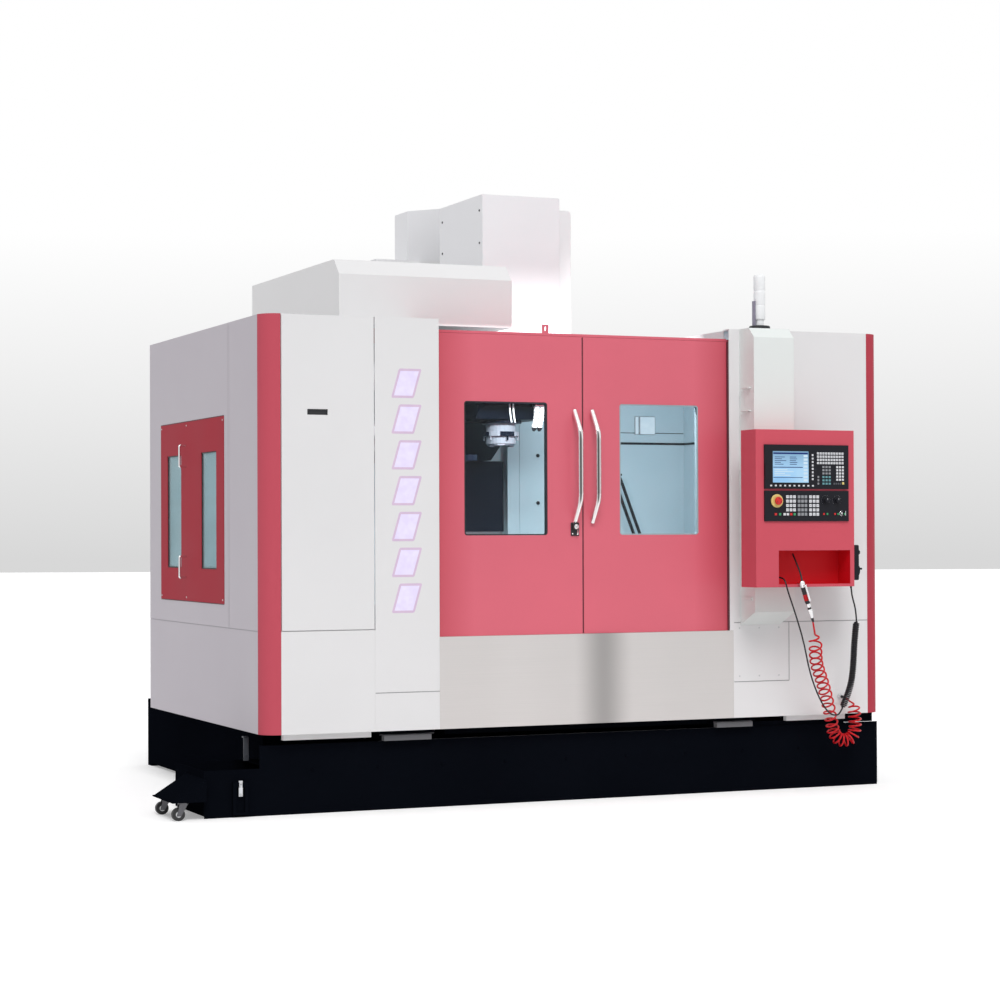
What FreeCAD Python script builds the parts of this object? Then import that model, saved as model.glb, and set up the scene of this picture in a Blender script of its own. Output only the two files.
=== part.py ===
import FreeCAD, Part
import math
import os

os.makedirs("parts", exist_ok=True)

V = FreeCAD.Vector

# Millimetres. X runs right, Y runs to the back, Z runs up. While the model is built, the datum
# corner is the front left corner of the enclosure on the floor. At the end every piece is moved
# so that the origin is the middle of the machine's footprint on the floor.

# Enclosure
encl_width = 3363.0
encl_depth = 2032.0
encl_top = 2351.0
encl_bottom = 380.0
post_radius = 87.0
sheet = 3.0
wall_flange = 60.0
wall_foot = 190.0
wall_seam_y = 545.0
wall_seam_pair = 20.0

# Front, from left to right
hatch_seam_x = 555.0
door_left_x = 883.0
door_split_x = 1655.0
door_right_x = 2460.0
apron_right_x = 2486.0
seam_z = 862.0
panel_seam_z = 562.0
seam_width = 4.0
groove_depth = 1.5
hatch_thickness = 10.0
hatch_clearance = 4.0
hatch_left_x = post_radius + hatch_clearance
hatch_right_x = hatch_seam_x - hatch_clearance
hatch_bottom = seam_z + hatch_clearance
hatch_top = encl_top - hatch_clearance
bar_count = 7
bar_pitch = 171.0
bar_height = 118.0
bar_left = 652.0
bar_width = 128.0
bar_bottom = 952.0
bar_slant = 34.0
bar_depth = 4.0
access_left = apron_right_x + 3.0
access_width = 319.0
access_right = access_left + access_width
roof_drop = 62.0

# Sliding doors
door_bottom = 823.0
door_top = 2287.0
door_setback = 15.0
door_thickness = 35.0
door_skin = 3.0
door_rim = 20.0
door_gap = 1.0
door_travel = 700.0
window_width = 441.0
window_left_in = 137.0
window_right_in = 200.0
window_bottom = 1309.0
window_height = 651.0
window_corner = 14.0
glass_thickness = 6.0
glass_lap = 12.0
glass_clearance = 0.3
handle_tube = 13.5
handle_standoff = 75.0
handle_bottom = 1381.0
handle_top = 1914.0
handle_slant = 100.0
handle_inset = 48.0
header_front = door_setback + door_thickness + 4.0
header_back = header_front + 55.0
header_bottom = door_top - 55.0
header_top = door_top + 14.0
lock_width = 46.0
lock_height = 62.0

# Side service panel
service_front_y = 632.0
service_back_y = 1799.0
service_bottom = 978.0
service_top = 1899.0
service_gap = 4.0
service_depth = 24.0
service_window_width = 270.0
service_window_in = 128.0
service_window_bottom = 1145.0
service_window_height = 588.0
slat_pitch = 65.0
pull_y = 1303.0
pull_span = 108.0

# Working parts
machine_x = 1675.0
spindle_y = 1090.0
bed_bottom = 40.0
bed_top = 600.0
bed_half = 725.0
bed_front = 110.0
bed_back = 2732.0
bed_edge_left = machine_x - bed_half
bed_edge_right = machine_x + bed_half
rail_half = 350.0
column_front = 1880.0
column_half = 420.0
column_top = 2860.0
column_foot_depth = 740.0
column_head_depth = 520.0
rail_size = 35.0
table_top = 940.0
table_length = 1400.0
table_depth = 680.0
table_slab = 70.0
slot_width = 18.0
slot_pitch = 125.0
slot_depth = 38.0
slot_foot = 32.0
slot_foot_height = 14.0
saddle_half = 560.0
saddle_half_depth = 240.0
cover_sheet = 3.0
cover_step = 3.0
cover_length = 660.0
wing_half = 1400.0
front_cover_length = 385.0
column_cover_length = 400.0
nose_face = 1790.0
nose_radius = 80.0
nose_length = 135.0
rotor_radius = 64.0
taper_radius = 34.9
taper_depth = 100.0
head_half = 200.0
saddle_bottom = bed_top + rail_size + 15.0
saddle_top = saddle_bottom + 110.0
wing_bottom = saddle_top - 20.0
cover_top = table_top - table_slab
carriage_half = 400.0
x_rail_half = 1060.0
end_plate = 6.0
x_rail_y = 150.0
lip_length = 8.0
lip_gap = 0.3
cover_start = 160.0
running = 0.08
cover_half = 221.0
cover_front = 810.0
cover_back = 1410.0
cover_crown = 3090.0
cover_low = 2000.0
chain_left = 1930.0
chain_right = 2050.0
chain_front = 1000.0
chain_foot = 1950.0
chain_crown = 3055.0

# Tool magazine
magazine_x = 890.0
magazine_z = 2130.0
magazine_radius = 400.0
pot_count = 24
pot_radius = 42.0
pot_length = 130.0
hood_left = 500.0
hood_right = 1420.0
hood_front = 350.0
hood_back = 1770.0
hood_top = 2668.0
hood_chamfer = 78.0
shaft_radius = 45.0
arm_reach = 337.0

# Base and coolant tank
tray_inset = 170.0
tray_front = 560.0
tank_left = -270.0
tank_right = encl_width + 9.0
tank_front = 65.0
tank_back = 553.0
tank_bottom = 12.0
tank_rim = 222.0
tank_wall = 4.0
guard_top = 329.0
open_tray_end = 60.0
gauge_left = -135.0
gauge_width = 75.0
gauge_top = 165.0
skid_width = 60.0
skid_left_in = 370.0
skid_right_in = 132.0
caster_plate_low = 84.0
caster_plate = 6.0
caster_plate_out = 35.0
caster_stem = 8.0
caster_axle = 5.0
tray_foot = 80.0
tray_low = 15.0
caster_x = -372.0
caster_front_y = 50.0
caster_spacing = 285.0
caster_trail = 24.0
wheel_radius = 30.0
wheel_width = 24.0
tray_plate = 6.0
arm_top = encl_bottom - 23.0

# Controls
duct_left = 2526.0
duct_right = 2757.0
duct_front = -150.0
duct_bottom = 850.0
duct_lip = 918.0
duct_chamfer = 50.0
box_left = 2450.0
box_right = 3015.0
box_front = -300.0
box_bottom = 1046.0
box_top = 1830.0
box_wall = 3.0
display_left = 2495.0
display_bottom = 1535.0
display_height = 220.0
rack_width = 483.0
panel_bottom = 1374.0
panel_height = 152.0
bezel = 8.0
pocket_left = 2578.0
pocket_right = 2990.0
pocket_bottom = 1060.0
pocket_top = 1228.0
pocket_depth = 118.0
rack_left = display_left
rack_right = display_left + rack_width
opening_in = 18.0
cable_end_x = 2600.0
cable_end_z = 1096.0
screen_left = 2542.0
screen_right = 2748.0
screen_bottom = 1566.0
screen_top = 1723.0
stop_x = 2563.0
stop_z = 1475.0
knob_z = 1478.0
feed_x = 2844.0
speed_x = 2908.0
knob_radius = 17.0
stem_radius = 4.0
key_x = 2936.0
key_z = 1413.0

# Lining
splash_side = 200.0
splash_fold_z = 690.0
splash_floor_z = 560.0
splash_back = 1800.0

# Electrical cabinet
cabinet_left = bed_edge_right + 10.0
cabinet_right = encl_width - 213.0
cabinet_back = encl_depth + 453.0
cabinet_top = 2150.0
hinge_x = cabinet_right + 9.0
hinge_y = cabinet_back + 12.0
hinge_radius = 8.0
hinge_heights = [560.0, 1265.0, 1970.0]

# Hand-held parts and cords
pendant_y = -225.0
pendant_x = 3018.0
pendant_depth = 45.0
pendant_bottom = 1076.0
pendant_top = 1254.0
pendant_half = 40.0
wheel_z = 1125.0
gun_x = 2692.0
gun_y = -330.0
gun_z = 1067.0
gun_tilt = 18.0
gun_length = 172.0
pin_y = gun_y - 26.0
cable_radius = 4.0
curl_radius = 18.0
socket_x = encl_width - 258.0
socket_z = 470.0
socket_radius = 13.0
socket_length = 24.0
hose_radius = 4.5
hose_coil_radius = 31.0
hose_open_pitch = 44.0
hose_close_pitch = 27.0
quarters = 4
hose_sides = 4

# Signal tower
tower_x = 2700.0
tower_y = 98.0
tower_radius = 30.0


def box(x0, x1, y0, y1, z0, z1):
    return Part.makeBox(x1 - x0, y1 - y0, z1 - z0, V(x0, y0, z0))


def face_of(points):
    return Part.Face(Part.makePolygon(points + [points[0]]))


def along_x(outline, x0, x1):
    """Extrude an outline of (y, z) corners from x0 to x1."""
    return face_of([V(x0, y, z) for y, z in outline]).extrude(V(x1 - x0, 0, 0))


def along_y(outline, y0, y1):
    """Extrude an outline of (x, z) corners from y0 to y1."""
    return face_of([V(x, y0, z) for x, z in outline]).extrude(V(0, y1 - y0, 0))


def along_z(outline, z0, z1):
    """Extrude an outline of (x, y) corners from z0 to z1."""
    return face_of([V(x, y, z0) for x, y in outline]).extrude(V(0, 0, z1 - z0))


def rod(centre, axis, radius, length):
    return Part.makeCylinder(radius, length, centre, axis)


def polygon_ring(centre, along, radius, sides):
    """A regular polygon wire square to a direction."""
    across = along.cross(V(0, 0, 1))
    if across.Length < 0.01:
        across = V(1, 0, 0)
    across.normalize()
    other = along.cross(across).normalize()
    corners = []
    for index in range(sides):
        angle = 2 * math.pi * (index + 0.5) / sides
        corners.append(centre + across * (radius * math.cos(angle)) + other * (radius * math.sin(angle)))
    return Part.makePolygon(corners + [corners[0]])


def prism(centre, along, radius, sides):
    """A regular prism from a centre along a vector."""
    return Part.Face(polygon_ring(centre, along, radius, sides)).extrude(along)


def join(first, *others):
    return first.fuse(list(others)).removeSplitter()


def mirrored_x(shape, x):
    return shape.mirror(V(x, 0, 0), V(1, 0, 0))


def rounded_opening(x0, x1, z0, z1, radius, y0, y1):
    """A window-shaped tool with rounded corners, cut along Y."""
    tool = box(x0, x1, y0, y1, z0, z1)
    corners = [edge for edge in tool.Edges if abs(edge.tangentAt(0).y) > 0.99]
    return tool.makeFillet(radius, corners)


def rounded_path(points, bends):
    edges = []
    here = points[0]
    for before, corner, after, bend in zip(points, points[1:], points[2:], bends):
        inward = (corner - before).normalize()
        outward = (after - corner).normalize()
        turn = inward.getAngle(outward)
        reach = bend * math.tan(turn / 2)
        start = corner - inward * reach
        end = corner + outward * reach
        bisector = (outward - inward).normalize()
        middle = corner + bisector * (bend / math.cos(turn / 2) - bend)
        edges.append(Part.LineSegment(here, start).toShape())
        edges.append(Part.Arc(start, middle, end).toShape())
        here = end
    edges.append(Part.LineSegment(here, points[-1]).toShape())
    return Part.Wire(edges)


# Enclosure -----------------------------------------------------------------------------------

def side_wall():
    """A folded sheet with a top flange, a wide foot flange that lies on the tray, and its seams."""
    web = [(0, encl_bottom), (wall_foot, encl_bottom), (wall_foot, encl_bottom + sheet),
           (sheet, encl_bottom + sheet), (sheet, encl_top - sheet), (wall_flange, encl_top - sheet),
           (wall_flange, encl_top), (0, encl_top)]
    wall = along_y(web, post_radius, encl_depth)
    half = seam_width / 2
    level = box(-1, groove_depth, post_radius - 1, encl_depth + 1, seam_z - half, seam_z + half)
    upright = [box(-1, groove_depth, y - half, y + half, seam_z, encl_top + 1)
               for y in (wall_seam_y, wall_seam_y + wall_seam_pair)]
    return wall.cut([level] + upright)


def left_side_wall():
    """The wall with its opening for the lift-off service panel."""
    opening = box(-1, 2 * service_depth, service_front_y - service_gap, service_back_y + service_gap,
                  service_bottom, service_top + service_gap)
    return side_wall().cut(opening)


def right_side_wall():
    return mirrored_x(side_wall(), encl_width / 2)


def corner_post():
    """A quarter-round folded corner with closed ends."""
    outer = rod(V(post_radius, post_radius, encl_bottom), V(0, 0, 1), post_radius, encl_top - encl_bottom)
    inner = rod(V(post_radius, post_radius, encl_bottom + sheet), V(0, 0, 1), post_radius - sheet,
                encl_top - encl_bottom - 2 * sheet)
    quarter = box(0, post_radius, 0, post_radius, encl_bottom, encl_top)
    return outer.common(quarter).cut(inner)


def corner_posts():
    left = corner_post()
    return Part.makeCompound([left, mirrored_x(left, encl_width / 2)])


def hatch_frame():
    """The fixed sheet round the hatch: a lower front, a shelf and a set-back frame."""
    stop = hatch_thickness + 0.3
    lower = box(post_radius, hatch_seam_x, 0, sheet, encl_bottom, seam_z)
    foot = box(post_radius, hatch_seam_x, sheet, wall_flange, encl_bottom, encl_bottom + sheet)
    shelf = box(post_radius, hatch_seam_x, sheet, stop + sheet, seam_z - sheet, seam_z)
    frame = box(post_radius, hatch_seam_x, stop, stop + sheet, seam_z - sheet, encl_top)
    rim = 40.0
    hole = box(post_radius + rim, hatch_seam_x - rim, stop - 1, stop + sheet + 1,
               seam_z + rim, encl_top - rim)
    lip = box(post_radius + 18, hatch_seam_x - 12, wall_flange / 2, wall_flange, encl_bottom - 28, encl_bottom)
    cap = box(post_radius, hatch_seam_x, stop + sheet, wall_flange, encl_top - sheet, encl_top)
    return join(lower, foot, shelf, frame.cut(hole), lip, cap)


def hatch():
    """A folded door panel with a recessed flush pull."""
    panel = box(hatch_left_x, hatch_right_x, 0, hatch_thickness, hatch_bottom, hatch_top)
    pocket = box(hatch_left_x + sheet, hatch_right_x - sheet, sheet, hatch_thickness + 1,
                 hatch_bottom + sheet, hatch_top - sheet)
    pull_left = hatch_left_x + 127
    pull_bottom = hatch_top - 468
    cup = box(pull_left - 6, pull_left + 107, sheet, hatch_thickness - 2, pull_bottom - 6, pull_bottom + 33)
    finger = box(pull_left, pull_left + 101, -1, hatch_thickness - 5, pull_bottom, pull_bottom + 27)
    return panel.cut(pocket).fuse(cup).cut(finger)


def light_bar(index, grow):
    """One slanted lens, grown by a clearance for its slot."""
    low = bar_bottom + index * bar_pitch
    high = low + bar_height
    left = bar_left - grow
    right = bar_left + bar_width + grow
    outline = [(left, low - grow), (right - bar_slant, low - grow), (right, high + grow),
               (left + bar_slant, high + grow)]
    return along_y(outline, -1.0, bar_depth)


def light_bars():
    return Part.makeCompound([light_bar(i, 0) for i in range(bar_count)])


def light_panel():
    """The front panel with the lit slots, a seam groove and a return beside the doors."""
    front = box(hatch_seam_x, door_left_x, 0, sheet, encl_bottom, encl_top)
    returned = box(door_left_x - sheet, door_left_x, sheet, door_setback - sheet, encl_bottom, encl_top)
    foot = box(hatch_seam_x, door_left_x, sheet, wall_flange, encl_bottom, encl_bottom + sheet)
    cap = box(hatch_seam_x, door_left_x - sheet, sheet, wall_flange, encl_top - sheet, encl_top)
    groove = box(hatch_seam_x - 1, door_left_x + 1, -1, groove_depth,
                 panel_seam_z - seam_width / 2, panel_seam_z + seam_width / 2)
    body = join(front, returned, foot, cap).cut(groove)
    back = box(bar_left - 20, bar_left + bar_width + 20, bar_depth, bar_depth + 2,
               bar_bottom - 20, bar_bottom + bar_count * bar_pitch)
    seat = box(bar_left - 20, bar_left + bar_width + 20, sheet, bar_depth, bar_bottom - 20,
               bar_bottom + bar_count * bar_pitch)
    slots = Part.makeCompound([light_bar(i, 0.3) for i in range(bar_count)])
    return body.fuse(seat).cut(slots).fuse(back).removeSplitter()


def right_front():
    """The front right of the doors: a strip beside them, seams, an access cover and a lip."""
    post = encl_width - post_radius
    outline = [(door_right_x + 6, door_bottom), (door_right_x + 6, encl_top), (post, encl_top),
               (post, encl_bottom), (apron_right_x + 0.3, encl_bottom), (apron_right_x + 0.3, door_bottom)]
    front = along_y(outline, 0, sheet)
    foot = box(apron_right_x + 0.3, post, sheet, wall_flange, encl_bottom, encl_bottom + sheet)
    cap = box(door_right_x + 6, post, sheet, wall_flange, encl_top - sheet, encl_top)
    lip = box(access_right, post - 2 * wall_flange, wall_flange / 2, wall_flange,
              encl_bottom - 28, encl_bottom)
    half = seam_width / 2
    long_seam = box(access_left, post + 1, -1, groove_depth, seam_z - half, seam_z + half)
    low_seam = box(access_left, access_right, -1, groove_depth, panel_seam_z - half, panel_seam_z + half)
    upright = box(access_right - half, access_right + half, -1, groove_depth, panel_seam_z - half, seam_z)
    return join(front, foot, cap, lip).cut(long_seam).cut(low_seam).cut(upright).fuse(air_socket())


def air_socket():
    """The bulkhead plate and threaded boss that the spiral hose is screwed into."""
    plate = box(socket_x - 45, socket_x + 45, -3, 0, socket_z - 35, socket_z + 35)
    boss = Part.makePolygon([V(socket_x + socket_radius * math.cos(math.radians(60 * i)), -3,
                               socket_z + socket_radius * math.sin(math.radians(60 * i)))
                             for i in range(7)])
    return plate.fuse(Part.Face(boss).extrude(V(0, 3 - socket_length, 0)))


def door_header():
    """The top beam behind the doors with its rail lip and the interlock tongue."""
    beam = box(sheet, encl_width - sheet, header_front, header_back, header_bottom, header_top)
    hollow = box(sheet + 10, encl_width - sheet - 10, header_front + sheet, header_back + 1,
                 header_bottom + sheet, header_top - sheet)
    shade = box(door_left_x, door_right_x, door_setback + 2, header_front, door_top + 1, header_top)
    tab = box(door_split_x - 218, door_split_x - 184, door_setback + 2, door_setback + 8,
              header_top, header_top + 42)
    slot = box(door_split_x - 206, door_split_x - 196, door_setback, door_setback + 10,
               header_top + 12, header_top + 32)
    beam = beam.cut(hollow)
    for x0, x1 in ((0, post_radius), (encl_width - post_radius, encl_width)):
        beam = beam.cut(box(x0, x1, 0, post_radius, encl_bottom, encl_top))
    return join(beam, shade, tab.cut(slot))


def apron():
    """The brushed lower front: a folded skin with a sill under the doors."""
    profile = [(0, encl_bottom), (wall_flange, encl_bottom), (wall_flange, encl_bottom + sheet),
               (sheet, encl_bottom + sheet), (sheet, door_bottom - 0.3 - sheet),
               (header_front, door_bottom - 0.3 - sheet), (header_front, door_bottom - 30),
               (header_back, door_bottom - 30), (header_back, door_bottom - 30 + sheet),
               (header_front + sheet, door_bottom - 30 + sheet), (header_front + sheet, door_bottom - 0.3),
               (0, door_bottom - 0.3)]
    return along_x(profile, door_left_x, apron_right_x)


def rear_wall():
    """Two rear skins, one on each side of the column."""
    left = box(sheet, machine_x - column_half - 10, encl_depth - sheet, encl_depth, encl_bottom, encl_top)
    flange = box(wall_foot, bed_edge_left, encl_depth - 40, encl_depth - sheet,
                 encl_bottom, encl_bottom + sheet)
    right = box(machine_x + column_half + 10, encl_width - sheet, encl_depth - sheet, encl_depth,
                encl_bottom, encl_top)
    far = box(bed_edge_right, encl_width - wall_foot, encl_depth - 40, encl_depth - sheet,
              encl_bottom, encl_bottom + sheet)
    return Part.makeCompound([cut_wall_corner(join(left, flange)), cut_wall_corner(join(right, far))])


def cut_wall_corner(panel):
    """Clear the side walls' foot and top flanges."""
    for x0, x1 in ((0, wall_foot), (encl_width - wall_foot, encl_width)):
        panel = panel.cut(box(x0, x1, 0, encl_depth + 1, encl_bottom, encl_bottom + sheet))
    for x0, x1 in ((0, wall_flange), (encl_width - wall_flange, encl_width)):
        panel = panel.cut(box(x0, x1, 0, encl_depth + 1, encl_top - sheet, encl_top))
    return panel.cut(box(bed_edge_left, bed_edge_right, 0, encl_depth + 1, 0, bed_top))


def roof_panels():
    """Two roof sheets: the left one notched for the magazine, the right one with a folded edge."""
    low = encl_top - sheet
    left = box(wall_flange, door_left_x, wall_flange, encl_depth - sheet, low, encl_top)
    notch = box(hood_left + 20, door_left_x + 1, hood_front + 20, hood_back - 20, low - 1, encl_top + 1)
    edge = apron_right_x + 9
    right = box(edge, encl_width - wall_flange, wall_flange, encl_depth - sheet, low, encl_top)
    fold = box(edge, edge + sheet, header_back + 1, splash_back, encl_top - roof_drop, low)
    corner = box(0, post_radius, 0, post_radius, low - 1, encl_top + 1)
    left = left.cut(notch).cut(corner)
    right = right.fuse(fold).cut(mirrored_x(corner, encl_width / 2))
    return Part.makeCompound([left, right])


def magazine_hood():
    """The sheet hood over the tool magazine, with a chamfered front."""
    outer = [(hood_front, encl_top), (hood_front, hood_top - hood_chamfer),
             (hood_front + hood_chamfer, hood_top), (hood_back, hood_top), (hood_back, encl_top)]
    inner = [(hood_front + sheet, encl_top - 1), (hood_front + sheet, hood_top - hood_chamfer - 1),
             (hood_front + hood_chamfer + 1, hood_top - sheet), (hood_back - sheet, hood_top - sheet),
             (hood_back - sheet, encl_top - 1)]
    shell = along_x(outer, hood_left, hood_right).cut(along_x(inner, hood_left + sheet, hood_right - sheet))
    seam = box((hood_left + hood_right) / 2, (hood_left + hood_right) / 2 + seam_width,
               hood_front - 1, hood_back + 1, hood_top - groove_depth, hood_top + 1)
    return shell.cut(seam)


def splash_wall():
    """The left inner lining: one sheet that slopes to the trough, folded round the back."""
    gutter = bed_edge_left - 12
    profile = [(splash_side, encl_top - sheet), (splash_side, splash_fold_z), (gutter, splash_floor_z),
               (gutter, splash_floor_z - sheet), (splash_side - sheet, splash_fold_z - sheet),
               (splash_side - sheet, encl_top - sheet)]
    side = along_y(profile, header_back + 1, splash_back)
    beam_edge = machine_x - column_half - 90
    back = box(splash_side - sheet, beam_edge, splash_back, splash_back + sheet, splash_floor_z, encl_top - sheet)
    strip = box(beam_edge, machine_x - column_half - 1, splash_back, splash_back + sheet,
                splash_floor_z, magazine_z - 160)
    over_bed = box(gutter, machine_x - column_half, splash_back - 1, splash_back + sheet + 1,
                   splash_floor_z - 5, bed_top)
    return join(side, back.cut(over_bed), strip.cut(over_bed))


def splash_walls():
    left = splash_wall()
    return Part.makeCompound([left, mirrored_x(left, machine_x)])


# Doors ---------------------------------------------------------------------------------------

def window_edges(side):
    """The left and right edges of a door's window."""
    if side == "left":
        return door_left_x + window_left_in, door_left_x + window_left_in + window_width
    return door_split_x + window_right_in, door_split_x + window_right_in + window_width


def door_edges(side):
    if side == "left":
        return door_left_x, door_split_x - door_gap
    return door_split_x + door_gap, door_right_x


def pane_box(side, grow):
    left, right = window_edges(side)
    back = door_setback + door_skin
    lap = glass_lap + grow
    return box(left - lap, right + lap, back, back + glass_thickness, window_bottom - lap,
               window_bottom + window_height + lap)


def door(side):
    """A hollow folded leaf with a rim round its window."""
    x0, x1 = door_edges(side)
    left, right = window_edges(side)
    front = door_setback
    back = door_setback + door_thickness
    top = window_bottom + window_height
    leaf = box(x0, x1, front, back, door_bottom, door_top)
    hollow = box(x0 + door_rim, x1 - door_rim, front + door_skin, back + 1,
                 door_bottom + door_rim, door_top - door_rim)
    rim = box(left - 2 * door_rim, right + 2 * door_rim, front + door_skin, back,
              window_bottom - 2 * door_rim, top + 2 * door_rim)
    sight = rounded_opening(left, right, window_bottom, top, window_corner, front - 1, back + 1)
    seat = pane_box(side, glass_clearance)
    return leaf.cut(hollow).fuse(rim).cut(sight).cut(seat).removeSplitter()


def handle_x(side):
    if side == "left":
        return door_split_x - handle_inset
    return door_split_x + handle_inset


def door_handle(side):
    """A bent tube that leans out from its two feet, with turned rosettes."""
    x = handle_x(side)
    out = door_setback - handle_standoff
    points = [V(x, door_setback, handle_top), V(x, door_setback - 20, handle_top),
              V(x, out, handle_top - handle_slant), V(x, out, handle_bottom + handle_slant),
              V(x, door_setback - 20, handle_bottom), V(x, door_setback, handle_bottom)]
    bends = [22.0, 60.0, 60.0, 22.0]
    ring = polygon_ring(points[0], V(0, -1, 0), handle_tube, 8)
    tube = rounded_path(points, bends).makePipeShell([ring], True, False)
    feet = [prism(V(x, door_setback, z), V(0, -5, 0), 1.6 * handle_tube, 12) for z in (handle_top, handle_bottom)]
    return tube.fuse(feet)


def door_lock():
    """The plate, barrel and lever that hold the leaves shut, on the left leaf."""
    x = door_split_x - handle_inset
    z = handle_bottom - 62
    plate = box(x - lock_width / 2, x + lock_width / 2 - 6, door_setback - 6, door_setback,
                z - lock_height / 2, z + lock_height / 2)
    barrel = prism(V(x - 6, door_setback - 6, z + 8), V(0, -16, 0), 12, 12)
    lever = box(x - 12, x + 14, door_setback - 20, door_setback - 14, z - 22, z - 6)
    stem = box(x - 6, x + 6, door_setback - 15, door_setback - 5, z - 20, z - 8)
    return join(plate, barrel, lever, stem)


# Side service panel --------------------------------------------------------------------------

def service_windows():
    """Front and back edges of the two windows, along Y."""
    front = service_front_y + service_window_in
    back = service_back_y - service_window_in
    return [(front, front + service_window_width), (back - service_window_width, back)]


def service_panel():
    """A red pan with two windows, rims for the glass and a rolled edge."""
    low = service_bottom
    panel = box(-2, service_depth - 2, service_front_y, service_back_y, low, service_top)
    inside = box(1, service_depth, service_front_y + sheet, service_back_y - sheet, low + sheet, service_top - sheet)
    body = panel.cut(inside)
    for y0, y1 in service_windows():
        z0 = service_window_bottom
        z1 = z0 + service_window_height
        rim = box(1, service_depth - 2, y0 - 30, y1 + 30, z0 - 30, z1 + 30)
        well = box(-3, service_depth, y0, y1, z0, z1)
        seat = box(5, 5 + glass_thickness + glass_clearance, y0 - 12.3, y1 + 12.3, z0 - 12.3, z1 + 12.3)
        load = box(5, service_depth, y0 - 12.3, y1 + 12.3, z0 - 12.3, z1 + 12.3)
        body = body.fuse(rim).cut(well).cut(seat).cut(load)
    return body.removeSplitter()


def service_glass():
    panes = []
    for y0, y1 in service_windows():
        z0 = service_window_bottom
        z1 = z0 + service_window_height
        panes.append(box(5, 5 + glass_thickness, y0 - 12, y1 + 12, z0 - 12, z1 + 12))
    return Part.makeCompound(panes)


def service_screen():
    """Slatted guards behind the panes: angled slats between two cheeks."""
    guards = []
    front = 5 + glass_thickness
    back = front + 26
    for y0, y1 in service_windows():
        z0 = service_window_bottom - 12
        z1 = z0 + service_window_height + 24
        frame = box(front, back, y0 - 12, y1 + 12, z0, z1)
        frame = frame.cut(box(front - 1, back + 1, y0 - 4, y1 + 4, z0 + 8, z1 - 8))
        count = int((z1 - z0 - 16) / slat_pitch)
        step = (z1 - z0 - 16) / count
        slats = []
        for index in range(count):
            low = z0 + 8 + index * step
            outline = [(front + 2, low + step), (front + 4, low + step), (back - 2, low + 4), (back - 4, low + 4)]
            slats.append(along_y(outline, y0 - 5, y1 + 5))
        guards.append(frame.fuse(slats))
    return Part.makeCompound(guards)


def service_handles():
    """Two chrome D-handles on the service panel."""
    grips = []
    for z in (1152.0, 1723.0):
        points = [V(-2, pull_y, z - pull_span / 2), V(-38, pull_y, z - pull_span / 2),
                  V(-38, pull_y, z + pull_span / 2), V(-2, pull_y, z + pull_span / 2)]
        ring = polygon_ring(points[0], V(-1, 0, 0), 6, 6)
        grips.append(rounded_path(points, [14.0, 14.0]).makePipeShell([ring], True, False))
    return Part.makeCompound(grips)


# Bed, column and axes ------------------------------------------------------------------------

def foot_pad(x, y, top, radius=60.0):
    return prism(V(x, y, 0), V(0, 0, top), radius, 8)


def bed():
    """The cast bed with a front nose over the tank, ways, rib pockets and levelling pads."""
    body = box(bed_edge_left, bed_edge_right, tray_front, bed_back, bed_bottom, bed_top)
    nose = box(bed_edge_left, bed_edge_right, bed_front, tray_front, guard_top + 16, bed_top)
    rails = [box(machine_x + side * rail_half - rail_size / 2, machine_x + side * rail_half + rail_size / 2,
                 bed_front + 40, column_front - 30, bed_top, bed_top + rail_size) for side in (-1, 1)]
    pads = [foot_pad(x, y, bed_bottom) for x in (bed_edge_left + 90, bed_edge_right - 90)
            for y in (tray_front + 150, spindle_y + 300, bed_back - 150)]
    whole = body.fuse([nose] + rails + pads)
    pocket_width = (2 * bed_half - 5 * 60) / 4
    for index in range(4):
        x0 = bed_edge_left + 60 + index * (pocket_width + 60)
        whole = whole.cut(box(x0, x0 + pocket_width, bed_back - 60, bed_back + 1, bed_bottom + 80, bed_top - 90))
    channel = box(machine_x - 180, machine_x + 180, bed_front - 1, column_front - 120, bed_top - 70, bed_top + 1)
    return whole.cut(channel).fuse(y_cover(2)).removeSplitter()


def column():
    """The column: a steep back, a foot, two guide rails and a recessed side panel."""
    back = column_front + column_foot_depth
    top_back = column_front + column_head_depth
    profile = [(column_front, bed_top), (back, bed_top), (back, bed_top + 260),
               (top_back, column_top), (column_front, column_top)]
    body = along_x(profile, machine_x - column_half, machine_x + column_half)
    relief = [(column_front + 140, bed_top + 420), (back - 190, bed_top + 420),
              (top_back - 130, column_top - 260), (column_front + 140, column_top - 260)]
    for x in (machine_x - column_half, machine_x + column_half):
        body = body.cut(along_x(relief, x - 25, x + 25))
    rails = [box(machine_x + side * 170 - rail_size / 2, machine_x + side * 170 + rail_size / 2,
                 column_front - 40, column_front, bed_top + 420, column_top - 20) for side in (-1, 1)]
    return body.fuse(rails + [z_cover(2), cable_guard()]).removeSplitter()


def block_on_rail(x0, x1, y0, y1, z0, z1, slot):
    """A carriage block with its slot for the rail."""
    return box(x0, x1, y0, y1, z0, z1).cut(slot)


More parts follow.
